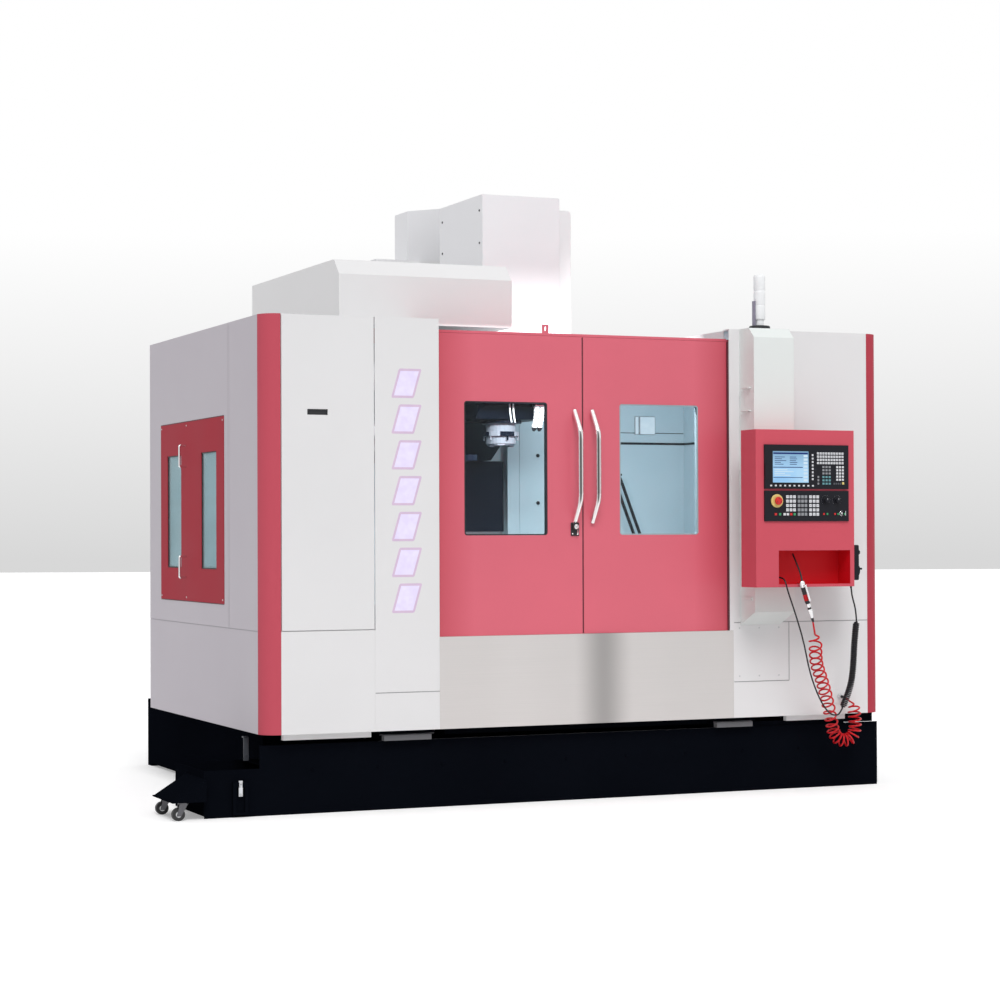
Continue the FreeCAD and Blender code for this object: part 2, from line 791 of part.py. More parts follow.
def saddle():
    """The cross slide: casting with carriage blocks, wing plate, X rails, fixed X covers and its Y cover."""
    front = spindle_y - saddle_half_depth
    back = spindle_y + saddle_half_depth
    half = cover_half_depth(2)
    casting = box(machine_x - saddle_half, machine_x + saddle_half, front, back, saddle_bottom, wing_bottom)
    wings = box(machine_x - wing_half, machine_x + wing_half, spindle_y - half, spindle_y + half,
                wing_bottom, saddle_top)
    blocks = []
    solids = [wings, y_cover(0)]
    for side in (-1, 1):
        centre = machine_x + side * rail_half
        slot = box(centre - rail_size / 2 - lip_gap, centre + rail_size / 2 + lip_gap, front, back,
                   bed_top, bed_top + rail_size + lip_gap)
        blocks.append(block_on_rail(centre - 45, centre + 45, front + 20, back - 20,
                                    bed_top + 10, saddle_bottom, slot))
        rail_y = spindle_y + side * x_rail_y
        solids.append(box(machine_x - x_rail_half, machine_x + x_rail_half, rail_y - rail_size / 2,
                          rail_y + rail_size / 2, saddle_top, saddle_top + rail_size))
        outer = machine_x + side * wing_half
        end_line = folded(half, saddle_top, cover_height(2), cover_sheet)[:6]
        end = along_x([(spindle_y + y, z) for y, z in end_line], outer - side * end_plate, outer)
        solids.append(join(x_cover(side, 2), end))
    return Part.makeCompound([join(casting, *blocks)] + solids)


def cover_height(step):
    """The top of an X cover: each section lies one step under the one outside it."""
    return cover_top - step * (cover_sheet + cover_step)


def cover_half_depth(step):
    return table_depth / 2 - 15 - step * (cover_sheet + cover_step)


def folded(half, low, crown, thick):
    """Half outlines of a folded channel with bevelled corners, as (across, up) points."""
    bevel = 10.0
    shift = 0.4142 * thick
    outer = [(-half, low), (-half, crown - bevel), (-half + bevel, crown), (half - bevel, crown),
             (half, crown - bevel), (half, low)]
    inner = [(half - thick, low), (half - thick, crown - bevel - shift), (half - bevel - shift, crown - thick),
             (-half + bevel + shift, crown - thick), (-half + thick, crown - bevel - shift),
             (-half + thick, low)]
    return outer + inner


def x_cover(side, step):
    """One section of the X way cover. Step 0 moves with the table and step 2 is fixed.

    The outer end carries a wiper lip that reaches down to the next section.
    """
    starts = {0: cover_start, 2: wing_half - cover_length}
    start = starts.get(step, (cover_start + wing_half - cover_length) / 2)
    half = cover_half_depth(step)
    near = machine_x + side * start
    far = machine_x + side * (start + cover_length)
    low = saddle_top if step == 2 else wing_bottom - step
    sheet_line = folded(half, low, cover_height(step), cover_sheet)
    body = along_x([(spindle_y + y, z) for y, z in sheet_line], min(near, far), max(near, far))
    if step == 2:
        return body
    lip_line = folded(half, low, cover_height(step), cover_sheet + cover_step - lip_gap)
    tip = far - side * lip_length
    lip = along_x([(spindle_y + y, z) for y, z in lip_line], min(tip, far), max(tip, far))
    return body.fuse(lip).removeSplitter()


def x_covers(step):
    return Part.makeCompound([x_cover(side, step) for side in (-1, 1)])


def gabled(half, low, crown, thick):
    """Outline of a channel with a slightly pitched roof, as (across, up) points."""
    fall = 12.0
    return [(-half, low), (-half, crown - fall), (0, crown), (half, crown - fall), (half, low),
            (half - thick, low), (half - thick, crown - fall - thick), (0, crown - thick),
            (-half + thick, crown - fall - thick), (-half + thick, low)]


def y_cover(step):
    """One section of the front way cover. Step 0 hangs on the saddle, 2 is fixed to the bed."""
    saddle_face = spindle_y - saddle_half_depth
    starts = {0: saddle_face - front_cover_length, 2: bed_front}
    start = starts.get(step, (saddle_face - front_cover_length + bed_front) / 2)
    half = rail_half + 95 - step * (cover_sheet + cover_step)
    top = wing_bottom - 4 - step * (cover_sheet + cover_step)
    low = bed_top + (0.0 if step == 2 else 3.0)
    sheet_line = gabled(half, low, top, cover_sheet)
    body = along_y([(machine_x + x, z) for x, z in sheet_line], start, start + front_cover_length)
    if step == 2:
        return body
    lip_line = gabled(half, low, top, cover_sheet + cover_step - lip_gap)
    lip = along_y([(machine_x + x, z) for x, z in lip_line], start, start + lip_length)
    return body.fuse(lip).removeSplitter()


def z_cover(step):
    """One section of the cover under the head. Step 0 hangs on the head, 2 stands on the bed."""
    head_low = nose_face - 60.0
    starts = {0: head_low - column_cover_length, 2: bed_top}
    start = starts.get(step, (head_low - column_cover_length + bed_top) / 2 + 5)
    half = 330 - step * (cover_sheet + cover_step)
    reach = 68 - step * (cover_sheet + cover_step)
    gap = 0.0 if step == 2 else cover_step
    sheet_line = folded(half, gap, reach, cover_sheet)
    body = along_z([(machine_x + x, column_front - out) for x, out in sheet_line],
                   start, start + column_cover_length)
    if step == 2:
        return body
    lip_line = folded(half, gap, reach, cover_sheet + cover_step - lip_gap)
    lip = along_z([(machine_x + x, column_front - out) for x, out in lip_line], start, start + lip_length)
    return body.fuse(lip).removeSplitter()


def table():
    """The table with five T-slots, its neck, the carriage under it and the outer X covers."""
    x0 = machine_x - table_length / 2
    x1 = machine_x + table_length / 2
    slab = box(x0, x1, spindle_y - table_depth / 2, spindle_y + table_depth / 2,
               table_top - table_slab, table_top)
    plate_bottom = saddle_top + rail_size + 5
    plate_top = plate_bottom + 35
    neck_half = cover_start - 75
    neck = box(machine_x - neck_half, machine_x + neck_half, spindle_y - 190, spindle_y + 190,
               plate_top, table_top - table_slab)
    hanger = box(machine_x - cover_start, machine_x + cover_start, spindle_y - 300, spindle_y + 300,
                 cover_top - cover_sheet, cover_top)
    plate = box(machine_x - carriage_half, machine_x + carriage_half, spindle_y - 200, spindle_y + 200,
                plate_bottom, plate_top)
    parts = [neck, plate, hanger, x_cover(-1, 0), x_cover(1, 0)]
    for x in (machine_x - carriage_half + 60, machine_x + carriage_half - 60):
        for y in (spindle_y - x_rail_y, spindle_y + x_rail_y):
            slot = box(x - 100, x + 100, y - rail_size / 2 - lip_gap, y + rail_size / 2 + lip_gap,
                       saddle_top, saddle_top + rail_size + lip_gap)
            parts.append(block_on_rail(x - 60, x + 60, y - 42, y + 42, saddle_top + 8, plate_bottom, slot))
    whole = slab.fuse(parts)
    for index in range(-2, 3):
        y = spindle_y + index * slot_pitch
        neck_cut = box(x0 - 1, x1 + 1, y - slot_width / 2, y + slot_width / 2, table_top - slot_depth, table_top + 1)
        under = box(x0 - 1, x1 + 1, y - slot_foot / 2, y + slot_foot / 2,
                    table_top - slot_depth, table_top - slot_depth + slot_foot_height)
        whole = whole.cut(neck_cut.fuse(under))
    return whole.removeSplitter()


def head():
    """The spindle head: sloped underside, carriage blocks, quill housing and its coolant ring."""
    back = column_front - 42.0
    bottom = nose_face + nose_length
    profile = [(spindle_y - 190, bottom + 65), (spindle_y - 190, bottom + 455), (back, bottom + 555),
               (back, nose_face - 60), (back - 140, nose_face - 60), (spindle_y + 260, bottom),
               (spindle_y - 125, bottom)]
    body = along_x(profile, machine_x - head_half, machine_x + head_half)
    upright = [edge for edge in body.Edges if edge.Vertexes[0].Point.y < spindle_y - 189
               and edge.Vertexes[-1].Point.y < spindle_y - 189 and edge.Length > 300]
    along = [edge for edge in upright if abs(edge.tangentAt(edge.FirstParameter).z) > 0.9]
    body = body.makeChamfer(28, along)
    centre = V(machine_x, spindle_y, nose_face + 7.3)
    quill = prism(centre, V(0, 0, nose_length), nose_radius, 24)
    flange = prism(V(machine_x, spindle_y, bottom - 18), V(0, 0, 18), nose_radius + 32, 16)
    ring = prism(V(machine_x, spindle_y, nose_face + 48), V(0, 0, 24), nose_radius + 17, 16)
    parts = [quill, flange, ring]
    for index in range(6):
        angle = math.radians(30 + 60 * index)
        x = machine_x + (nose_radius + 10) * math.cos(angle)
        y = spindle_y + (nose_radius + 10) * math.sin(angle)
        parts.append(prism(V(x, y, nose_face + 26), V(0, 0, 24), 5, 6))
    for side in (-1, 1):
        x = machine_x + side * 170
        for z in (nose_face - 30, bottom + 400):
            block = box(x - 32, x + 32, back, column_front - 12, z, z + 110)
            parts.append(block.cut(box(x - rail_size / 2 - 0.3, x + rail_size / 2 + 0.3,
                                       column_front - 40.3, column_front, z - 1, z + 111)))
    bore = rod(V(machine_x, spindle_y, nose_face), V(0, 0, 1), rotor_radius + running, 260)
    parts.append(z_cover(0))
    return body.fuse(parts).cut(bore).removeSplitter()


def spindle():
    """The rotor: a turned nose with its taper bore and two drive keys."""
    z = nose_face
    half_angle_rise = 7.0 / 24.0 / 2.0
    small = taper_radius - taper_depth * half_angle_rise
    nose = prism(V(machine_x, spindle_y, z), V(0, 0, 7), nose_radius - 6, 24)
    shaft = prism(V(machine_x, spindle_y, z), V(0, 0, 240), rotor_radius, 24)
    profile = [(0, -1), (taper_radius + half_angle_rise, -1), (small, taper_depth), (small, 241), (0, 241)]
    points = [V(machine_x + r, spindle_y, z + h) for r, h in profile]
    bore = face_of(points).revolve(V(machine_x, spindle_y, 0), V(0, 0, 1), 360)
    rotor = nose.fuse(shaft).cut(bore)
    keys = [box(machine_x + side * 56 - 12, machine_x + side * 56 + 12, spindle_y - 12.5, spindle_y + 12.5,
                z - 8, z) for side in (-1, 1)]
    return rotor.fuse(keys)


def head_cover():
    """The sheet cover over the spindle drive, on tabs that reach the head casting."""
    outer = box(machine_x - cover_half, machine_x + cover_half, cover_front, cover_back, cover_low, cover_crown)
    inner = box(machine_x - cover_half + sheet, machine_x + cover_half - sheet, cover_front + sheet,
                cover_back + 1, cover_low - 1, cover_crown - sheet)
    shell = outer.cut(inner)
    tabs = []
    for side in (-1, 1):
        inside = machine_x + side * head_half
        outside = machine_x + side * (cover_half - sheet)
        for z in (cover_low + 120, cover_low + 300):
            tabs.append(box(min(inside, outside), max(inside, outside), spindle_y - 40, spindle_y, z, z + 40))
    return shell.fuse(tabs).removeSplitter()


def z_drive_cover():
    """The cover on top of the column over the Z drive, with a sloped left part."""
    left = machine_x - 229
    right = machine_x + 229
    outer = [(left, column_top), (left, column_top + 276), (left + 194, column_top + 300),
             (right, column_top + 300), (right, column_top)]
    inner = [(left + sheet, column_top - 1), (left + sheet, column_top + 273),
             (left + 194, column_top + 297), (right - sheet, column_top + 297), (right - sheet, column_top - 1)]
    shell = along_y(outer, column_front, column_front + 200)
    return shell.cut(along_y(inner, column_front + sheet, column_front + 200 - sheet))


def cable_guard():
    """The upright channel beside the head that the Z cable chain runs in."""
    outer = box(chain_left, chain_right, chain_front, column_front, chain_foot, chain_crown)
    corner = [edge for edge in outer.Edges if abs(edge.tangentAt(0).y) > 0.99
              and edge.Vertexes[0].Point.z > chain_crown - 1 and edge.Vertexes[0].Point.x > chain_right - 1]
    outer = outer.makeFillet(20, corner)
    inner = box(chain_left - 1, chain_right - sheet, chain_front + sheet, column_front - sheet,
                chain_foot - 1, chain_crown - 21)
    return outer.cut(inner)


# Tool magazine -------------------------------------------------------------------------------


def carousel():
    """The disc and its ring of tool pots, turning about X."""
    centre = V(magazine_x - 15, spindle_y, magazine_z)
    disc = prism(centre, V(30, 0, 0), magazine_radius - 8, pot_count)
    hub = prism(V(magazine_x - 40, spindle_y, magazine_z), V(80, 0, 0), 95, 12)
    pots = []
    for index in range(pot_count):
        angle = 360.0 * index / pot_count
        ring = []
        for corner in range(6):
            turn = math.radians(60 * corner + 30)
            ring.append((spindle_y + pot_radius * math.cos(turn),
                         magazine_z + magazine_radius + pot_radius * math.sin(turn)))
        pot = along_x(ring, magazine_x - pot_length / 2, magazine_x + pot_length / 2)
        pot.rotate(V(0, spindle_y, magazine_z), V(1, 0, 0), angle)
        pots.append(pot)
    whole = disc.fuse([hub] + pots)
    for index in range(4):
        angle = math.radians(90 * index)
        hole = prism(V(magazine_x - 20, spindle_y + 230 * math.cos(angle), magazine_z + 230 * math.sin(angle)),
                     V(40, 0, 0), 80, 8)
        whole = whole.cut(hole)
    return whole.cut(rod(V(magazine_x - 100, spindle_y, magazine_z), V(1, 0, 0), shaft_radius + running, 200))


def tool_changer():
    """The beam on the column, the carousel's shaft, the cam box and the swing arm."""
    side = machine_x - column_half
    beam = box(side - 75, side - 5, spindle_y - 90, column_front + 110, magazine_z - 130, magazine_z + 130)
    foot = box(side - 5, side, column_front + 5, column_front + 110, magazine_z - 130, magazine_z + 130)
    shaft = rod(V(magazine_x - 46, spindle_y, magazine_z), V(1, 0, 0), shaft_radius, side - 75 - magazine_x + 46)
    collar = prism(V(magazine_x + 40.3, spindle_y, magazine_z), V(24, 0, 0), 70, 12)
    cap = prism(V(magazine_x - 50.3, spindle_y, magazine_z), V(10, 0, 0), 60, 12)
    arm_x = machine_x - arm_reach
    cam = box(side - 5, arm_x + 82, spindle_y - 100, spindle_y + 100, nose_face + 10, magazine_z + 20)
    stem = prism(V(arm_x, spindle_y, nose_face - 95), V(0, 0, 110), 30, 12)
    hub = prism(V(arm_x, spindle_y, nose_face - 100), V(0, 0, 40), 55, 12)
    bar = box(arm_x - 26, arm_x + 26, spindle_y - arm_reach + 40, spindle_y + arm_reach - 40,
              nose_face - 95, nose_face - 65)
    whole = beam.fuse([foot, shaft, collar, cap, cam, stem, hub, bar])
    for side_of in (-1, 1):
        centre_y = spindle_y + side_of * arm_reach
        jaw = prism(V(arm_x, centre_y, nose_face - 95), V(0, 0, 30), 56, 12)
        jaw = jaw.cut(prism(V(arm_x, centre_y, nose_face - 96), V(0, 0, 32), 36, 12))
        jaw = jaw.cut(box(arm_x + 10, arm_x + 60, centre_y - 30, centre_y + 30, nose_face - 96, nose_face - 64))
        whole = whole.fuse(jaw)
    return whole.removeSplitter()


# Base ----------------------------------------------------------------------------------------


def tray(x0, x1, drain_x0, drain_x1):
    """A hollow base of plates: open underneath, with a drain slot beside the bed and four feet."""
    y0 = tray_front
    y1 = bed_back
    inside = [x0 + tray_plate, x1 - tray_plate, y0 + tray_plate, y1 - tray_plate]
    plates = [box(x0, x1, y0, inside[2], tray_low, encl_bottom), box(x0, x1, inside[3], y1, tray_low, encl_bottom),
              box(x0, inside[0], inside[2], inside[3], tray_low, encl_bottom),
              box(inside[1], x1, inside[2], inside[3], tray_low, encl_bottom)]
    top = box(*inside, encl_bottom - tray_plate, encl_bottom)
    drain = box(drain_x0, drain_x1, y0 + 60, splash_back - 60, encl_bottom - 10, encl_bottom + 1)
    feet = [box(x, x + tray_foot, y, y + tray_foot, 0, tray_low) for x in (x0, x1 - tray_foot)
            for y in (y0, y1 - tray_foot)]
    return plates + [top.cut(drain)] + feet


def bracket_arm(x0, x1, plate_x0, plate_x1):
    """A grey arm that carries the front of the enclosure over the tank."""
    arm = box(x0, x1, 30, tray_front, guard_top + 2, arm_top)
    plate = box(plate_x0, plate_x1, 60, tray_front, arm_top, encl_bottom)
    window = box(x0 + 60, x1 - 60, 120, tray_front - 90, guard_top, arm_top + 1)
    return join(arm.cut(window), plate)


def base_trays():
    """Both trays with their arms; the right end has a plain arm under the corner."""
    right_end = encl_width - tray_inset
    solids = tray(tray_inset, bed_edge_left, bed_edge_left - 250, bed_edge_left - 20)
    solids += tray(bed_edge_right, right_end, bed_edge_right + 20, bed_edge_right + 250)
    solids.append(bracket_arm(hatch_seam_x + 54, door_left_x - 32, hatch_seam_x + 41, door_left_x - 7))
    solids.append(bracket_arm(bed_edge_right + 5, bed_edge_right + 210, bed_edge_right + 5, bed_edge_right + 240))
    solids.append(box(right_end - 20, encl_width - 23, wall_flange + 2, tray_front, guard_top + 2, encl_bottom))
    return Part.makeCompound(solids)


def caster_outrigger():
    """The bracket on the tank's end: a plate for both casters, a sloped skin and two gussets."""
    outer = caster_x - 60
    y0 = caster_front_y - caster_plate_out
    y1 = caster_front_y + caster_spacing + caster_plate_out
    plate = box(outer, tank_left, y0, y1, caster_plate_low, caster_plate_low + caster_plate)
    for y in (caster_front_y, caster_front_y + caster_spacing):
        plate = plate.cut(rod(V(caster_x, y, caster_plate_low - 1), V(0, 0, 1), caster_stem + running, 8))
    slope = [(outer, caster_plate_low), (outer + 4, caster_plate_low), (tank_left, 181), (tank_left, 186)]
    gusset = [(outer, caster_plate_low), (tank_left, caster_plate_low), (tank_left, 186)]
    sides = [along_y(gusset, y, y + tank_wall) for y in (y0, y1 - tank_wall)]
    return join(plate, along_y(slope, y0, y1), *sides)


def coolant_tank():
    """The long tank with its open end tray, front guard, gauge guard, skids and outrigger."""
    outer = box(tank_left, tank_right, tank_front, tank_back, tank_bottom, tank_rim)
    inner = box(tank_left + tank_wall, tank_right - tank_wall, tank_front + tank_wall, tank_back - tank_wall,
                tank_bottom + tank_wall, tank_rim - tank_wall)
    mouth = box(tank_left + tank_wall, open_tray_end, tank_front + tank_wall, tank_back - tank_wall,
                tank_rim - tank_wall - 1, tank_rim + 1)
    guard = box(0, tank_right, tank_front, tank_front + tank_wall, tank_rim, guard_top)
    gauge = box(gauge_left, gauge_left + gauge_width, tank_front - 22, tank_front, tank_bottom, gauge_top)
    gauge = gauge.cut(box(gauge_left + 17, gauge_left + gauge_width - 17, tank_front - 23, tank_front - 8,
                          tank_bottom + 12, gauge_top - 25))
    first = tank_left + skid_left_in
    last = tank_right - skid_right_in
    skids = [box(x, x + skid_width, tank_front + 20, tank_back - 20, 0, tank_bottom)
             for x in (first, (first + last) / 2, last)]
    tank = outer.cut(inner).cut(mouth).fuse([guard, gauge]).removeSplitter()
    return Part.makeCompound([tank, caster_outrigger()] + skids)


def caster_fork(y):
    """The swivelling fork: stem, crown, two cheeks and the axle."""
    crown_top = caster_plate_low - 0.3
    crown = prism(V(caster_x, y, crown_top - 6), V(0, 0, 6), 25, 8)
    stem = rod(V(caster_x, y, crown_top - 2), V(0, 0, 1), caster_stem, caster_plate + 2)
    axle_x = caster_x - caster_trail
    inside = wheel_width / 2 + 0.3
    outline = [(caster_x - 20, crown_top - 6), (caster_x + 18, crown_top - 6), (axle_x + 11, wheel_radius - 8),
               (axle_x - 11, wheel_radius - 8)]
    cheeks = [along_y(outline, y + inside, y + inside + 4), along_y(outline, y - inside - 4, y - inside)]
    axle = rod(V(axle_x, y - inside - 4, wheel_radius), V(0, 1, 0), caster_axle, 2 * inside + 8)
    return crown.fuse([stem, axle] + cheeks).removeSplitter()


def caster_wheel(y):
    """A plain tread ring round its bore."""
    axle_x = caster_x - caster_trail
    tread = rod(V(axle_x, y - wheel_width / 2, wheel_radius), V(0, 1, 0), wheel_radius, wheel_width)
    return tread.cut(rod(V(axle_x, y - wheel_width, wheel_radius), V(0, 1, 0), caster_axle + running,
                         2 * wheel_width))


# Electrical cabinet --------------------------------------------------------------------------


def cabinet():
    """The cabinet shell with its mounting plate, drives, duct strips and hinge leaves."""
    shell = box(cabinet_left, cabinet_right, encl_depth, cabinet_back, encl_bottom, cabinet_top)
    inner = box(cabinet_left + sheet, cabinet_right - sheet, encl_depth + sheet, cabinet_back + 1,
                encl_bottom + sheet, cabinet_top - sheet)
    plate_y = encl_depth + 25
    plate = box(cabinet_left + 30, cabinet_right - 30, plate_y, plate_y + sheet, encl_bottom + 60, cabinet_top - 60)
    spacers = [box(x - 15, x + 15, encl_depth + sheet, plate_y, encl_bottom + 80, cabinet_top - 80)
               for x in (cabinet_left + 60, cabinet_right - 60)]
    parts = [plate] + spacers
    face = plate_y + sheet
    width = cabinet_right - cabinet_left
    start = cabinet_left + 0.1 * width
    for index in range(4):
        x = start + index * 0.15 * width
        parts.append(box(x, x + 0.12 * width, face, face + 230, 1450, 1850))
    for index in range(3):
        x = start + index * 0.25 * width
        parts.append(box(x, x + 0.2 * width, face, face + 130, 960, 1180))
    parts.append(box(start, start + 0.4 * width, face, face + 260, encl_bottom + 80, 700))
    for z in (1250.0, 1380.0, 1920.0):
        parts.append(box(cabinet_left + 50, cabinet_right - 50, face, face + 60, z, z + 45))
    for z in hinge_heights:
        leaf = box(cabinet_right, cabinet_right + sheet, cabinet_back - 45, hinge_y, z - 40, z)
        parts.append(leaf.fuse(rod(V(hinge_x, hinge_y, z - 40), V(0, 0, 1), hinge_radius, 40)))
    return shell.cut(inner).fuse(parts).removeSplitter()


def cabinet_door():
    """The pan door with its hinge leaves and a swing handle."""
    front = cabinet_back + 0.3
    back = cabinet_back + 20
    low = encl_bottom + 2
    high = cabinet_top - 2
    pan = box(cabinet_left + 1, cabinet_right - 1, front, back, low, high)
    pan = pan.cut(box(cabinet_left + 18, cabinet_right - 18, front - 1, back - sheet, low + 18, high - 18))
    parts = []
    for z in hinge_heights:
        leaf = box(cabinet_right - 12, hinge_x, hinge_y - 3, hinge_y + 3, z + 0.3, z + 40)
        parts.append(leaf.fuse(rod(V(hinge_x, hinge_y, z + 0.3), V(0, 0, 1), hinge_radius, 39.7)))
    x = cabinet_left + 45
    parts.append(box(x - 14, x + 14, back, back + 8, 1150, 1330))
    parts.append(box(x - 9, x + 9, back + 8, back + 24, 1165, 1300))
    return pan.fuse(parts).removeSplitter()


# Controls ------------------------------------------------------------------------------------

def control_post():
    """The folded duct that carries the control box, with two lips and a flush handle."""
    outer = [(0, duct_bottom), (duct_front, duct_lip), (duct_front, encl_top - duct_chamfer),
             (duct_front + duct_chamfer, encl_top), (0, encl_top)]
    inner = [(1, duct_bottom + sheet), (duct_front + sheet, duct_lip + 2), (duct_front + sheet, encl_top - 52),
             (duct_front + duct_chamfer + 1.3, encl_top - sheet), (1, encl_top - sheet)]
    duct = along_x(outer, duct_left, duct_right).cut(along_x(inner, duct_left + sheet, duct_right - sheet))
    lips = [box(duct_left - 14, duct_left, -119, -33, z, z + 5) for z in (1930.0, 2045.0)]
    grip = box(duct_left - 8, duct_left, -124, -31, 977, 993)
    return duct.fuse(lips + [grip]).removeSplitter()


def control_box():
    """The hanging box with openings for both panels and an open lower compartment."""
    outer = box(box_left, box_right, box_front, duct_front, box_bottom, box_top)
    inner = box(box_left + box_wall, box_right - box_wall, box_front + box_wall, duct_front - box_wall,
                box_bottom + box_wall, box_top - box_wall)
    shell = outer.cut(inner)
    lined = box(pocket_left - box_wall, pocket_right + box_wall, box_front, box_front + pocket_depth + box_wall,
                pocket_bottom - box_wall, pocket_top + box_wall)
    pocket = box(pocket_left, pocket_right, box_front - 1, box_front + pocket_depth, pocket_bottom, pocket_top)
    upper = box(rack_left + opening_in, rack_right - opening_in, box_front - 1, box_front + box_wall + 1,
                display_bottom + 10, display_bottom + display_height - 10)
    lower = box(rack_left + opening_in, rack_right - opening_in, box_front - 1, box_front + box_wall + 1,
                panel_bottom + 10, panel_bottom + panel_height - 10)
    whole = shell.fuse(lined).cut(pocket).cut(upper).cut(lower)
    corners = [edge for edge in whole.Edges if edge.Length > 500 and abs(edge.tangentAt(edge.FirstParameter).z) > 0.9
               and edge.Vertexes[0].Point.y < box_front + 0.1]
    corners = [edge for edge in corners if edge.Vertexes[0].Point.x < box_left + 0.1
               or edge.Vertexes[0].Point.x > box_right - 0.1]
    whole = whole.makeFillet(2.5, corners)
    gland = rod(V(cable_end_x, box_front + pocket_depth, cable_end_z), V(0, -1, 0), 10, 14)
    return whole.fuse(gland).removeSplitter()


def rack_unit(z0, height, depth):
    """A rack front with its body behind, passing through the box's opening."""
    front = box(rack_left, rack_right, box_front - bezel, box_front, z0, z0 + height)
    body = box(rack_left + opening_in + 1, rack_right - opening_in - 1, box_front, box_front + depth,
               z0 + 11, z0 + height - 11)
    return front.fuse(body)


def display_unit():
    """The upper rack unit with its recessed screen and the cover bump on its left edge."""
    unit = rack_unit(display_bottom, display_height, 85)
    recess = box(screen_left, screen_right, box_front - bezel - 1, box_front - bezel + 3, screen_bottom, screen_top)
    bump = box(rack_left, rack_left + 16, box_front - bezel - 6, box_front - bezel,
               screen_bottom + 20, screen_bottom + 90)
    return unit.cut(recess).fuse(bump).removeSplitter()


def operator_panel():
    """The lower rack unit: bores for the controls, the stop's collar and dial rings."""
    unit = rack_unit(panel_bottom, panel_height, 50)
    face = box_front - bezel
    collar = prism(V(stop_x, face, stop_z), V(0, -4, 0), 30, 16)
    dials = [prism(V(x, face, knob_z), V(0, -1, 0), knob_radius + 7, 16) for x in (feed_x, speed_x)]
    barrel = prism(V(key_x, face, key_z), V(0, -5, 0), 12, 12)
    unit = unit.fuse([collar, barrel] + dials)
    bores = [rod(V(stop_x, face - 10, stop_z), V(0, 1, 0), 8 + running, 50),
             rod(V(feed_x, face - 10, knob_z), V(0, 1, 0), stem_radius + running, 30),
             rod(V(speed_x, face - 10, knob_z), V(0, 1, 0), stem_radius + running, 30),
             rod(V(key_x, face - 10, key_z), V(0, 1, 0), 6 + running, 30)]
    for bore in bores:
        unit = unit.cut(bore)
    return unit.removeSplitter()


def emergency_stop():
    """A mushroom head on a stem."""
    face = box_front - bezel
    head = prism(V(stop_x, face - 10, stop_z), V(0, -18, 0), 20, 16)
    return head.fuse(rod(V(stop_x, face - 10, stop_z), V(0, 1, 0), 8, 30)).removeSplitter()


def selector_knob(x):
    """A knob with a flat grip across its face, on a stem."""
    face = box_front - bezel - 1.3
    skirt = prism(V(x, face, knob_z), V(0, -9, 0), knob_radius, 12)
    grip = box(x - 4.5, x + 4.5, face - 19, face - 9, knob_z - knob_radius + 1, knob_z + knob_radius - 1)
    stem = rod(V(x, face, knob_z), V(0, 1, 0), stem_radius, 16)
    return join(skirt, grip, stem)


def key_switch():
    """The plug of the key switch with the key in it."""
    face = box_front - bezel - 5
    plug = rod(V(key_x, face - 1, key_z), V(0, 1, 0), 6, 20)
    blade = box(key_x - 1.5, key_x + 1.5, face - 26, face - 1, key_z - 5, key_z + 5)
    bow = box(key_x - 1.5, key_x + 1.5, face - 34, face - 14, key_z - 11, key_z + 11)
    return join(plug, blade, bow)


def key_grid(x0, x1, z0, z1, columns, rows, gap, height):
    """A block of flat keys that fills a rectangle of the front."""
    keys = []
    across = (x1 - x0) / columns
    up = (z1 - z0) / rows
    face = box_front - bezel
    for column_index in range(columns):
        for row in range(rows):
            x = x0 + column_index * across
            z = z0 + row * up
            keys.append(box(x + gap / 2, x + across - gap / 2, face - height, face, z + gap / 2, z + up - gap / 2))
    return keys


def panel_keys():
    """All the flat keys and small round buttons of both units."""
    flat = 2.0
    keys = key_grid(2528, 2770, 1542, 1559, 10, 1, 6, flat)
    keys += key_grid(2761, 2777, 1566, 1723, 1, 8, 5, flat)
    keys += key_grid(2794, 2950, 1657, 1720, 9, 4, 4, flat)
    keys += key_grid(2906, 2950, 1575, 1652, 3, 5, 3, flat)
    keys += key_grid(2825, 2871, 1612, 1652, 3, 2, 3, flat)
    keys += key_grid(2825, 2871, 1558, 1600, 3, 3, 3, flat)
    keys += key_grid(2792, 2806, 1575, 1652, 1, 3, 6, flat)
    keys += key_grid(2936, 2952, 1550, 1566, 1, 1, 1, flat)
    for x0 in (2616.0, 2684.0, 2750.0):
        keys += key_grid(x0, x0 + 52, 1422, 1505, 3, 4, 4, flat)
    face = box_front - bezel
    for x in (2551.0, 2582.0, 2606.0, 2625.0, 2643.0, 2665.0, 2833.0, 2854.0, 2891.0, 2909.0):
        keys.append(prism(V(x, face, 1408), V(0, -5, 0), 7, 8))
    return Part.makeCompound(keys)


# Hand-held parts and cords -------------------------------------------------------------------


def pendant():
    """The hand pendant on its bracket plate, with two selectors, a grip key and a cable gland."""
    body = box(pendant_x, pendant_x + pendant_depth, pendant_y - pendant_half, pendant_y + pendant_half,
               pendant_bottom, pendant_top)
    upright = [edge for edge in body.Edges if abs(edge.tangentAt(edge.FirstParameter).x) > 0.9]
    body = body.makeFillet(10, upright)
    bracket = box(box_right, pendant_x, pendant_y - 30, pendant_y + 30, pendant_bottom + 40, pendant_top - 10)
    face = pendant_x + pendant_depth
    knobs = [prism(V(face, pendant_y + y, pendant_top - 38), V(14, 0, 0), 11, 12) for y in (-18, 18)]
    gland = prism(V(pendant_x + 22, pendant_y, pendant_bottom - 10), V(0, 0, 10), 9, 6)
    whole = body.fuse([bracket, gland] + knobs)
    return whole.cut(rod(V(face - 20, pendant_y, wheel_z), V(1, 0, 0), stem_radius + running, 21)).removeSplitter()


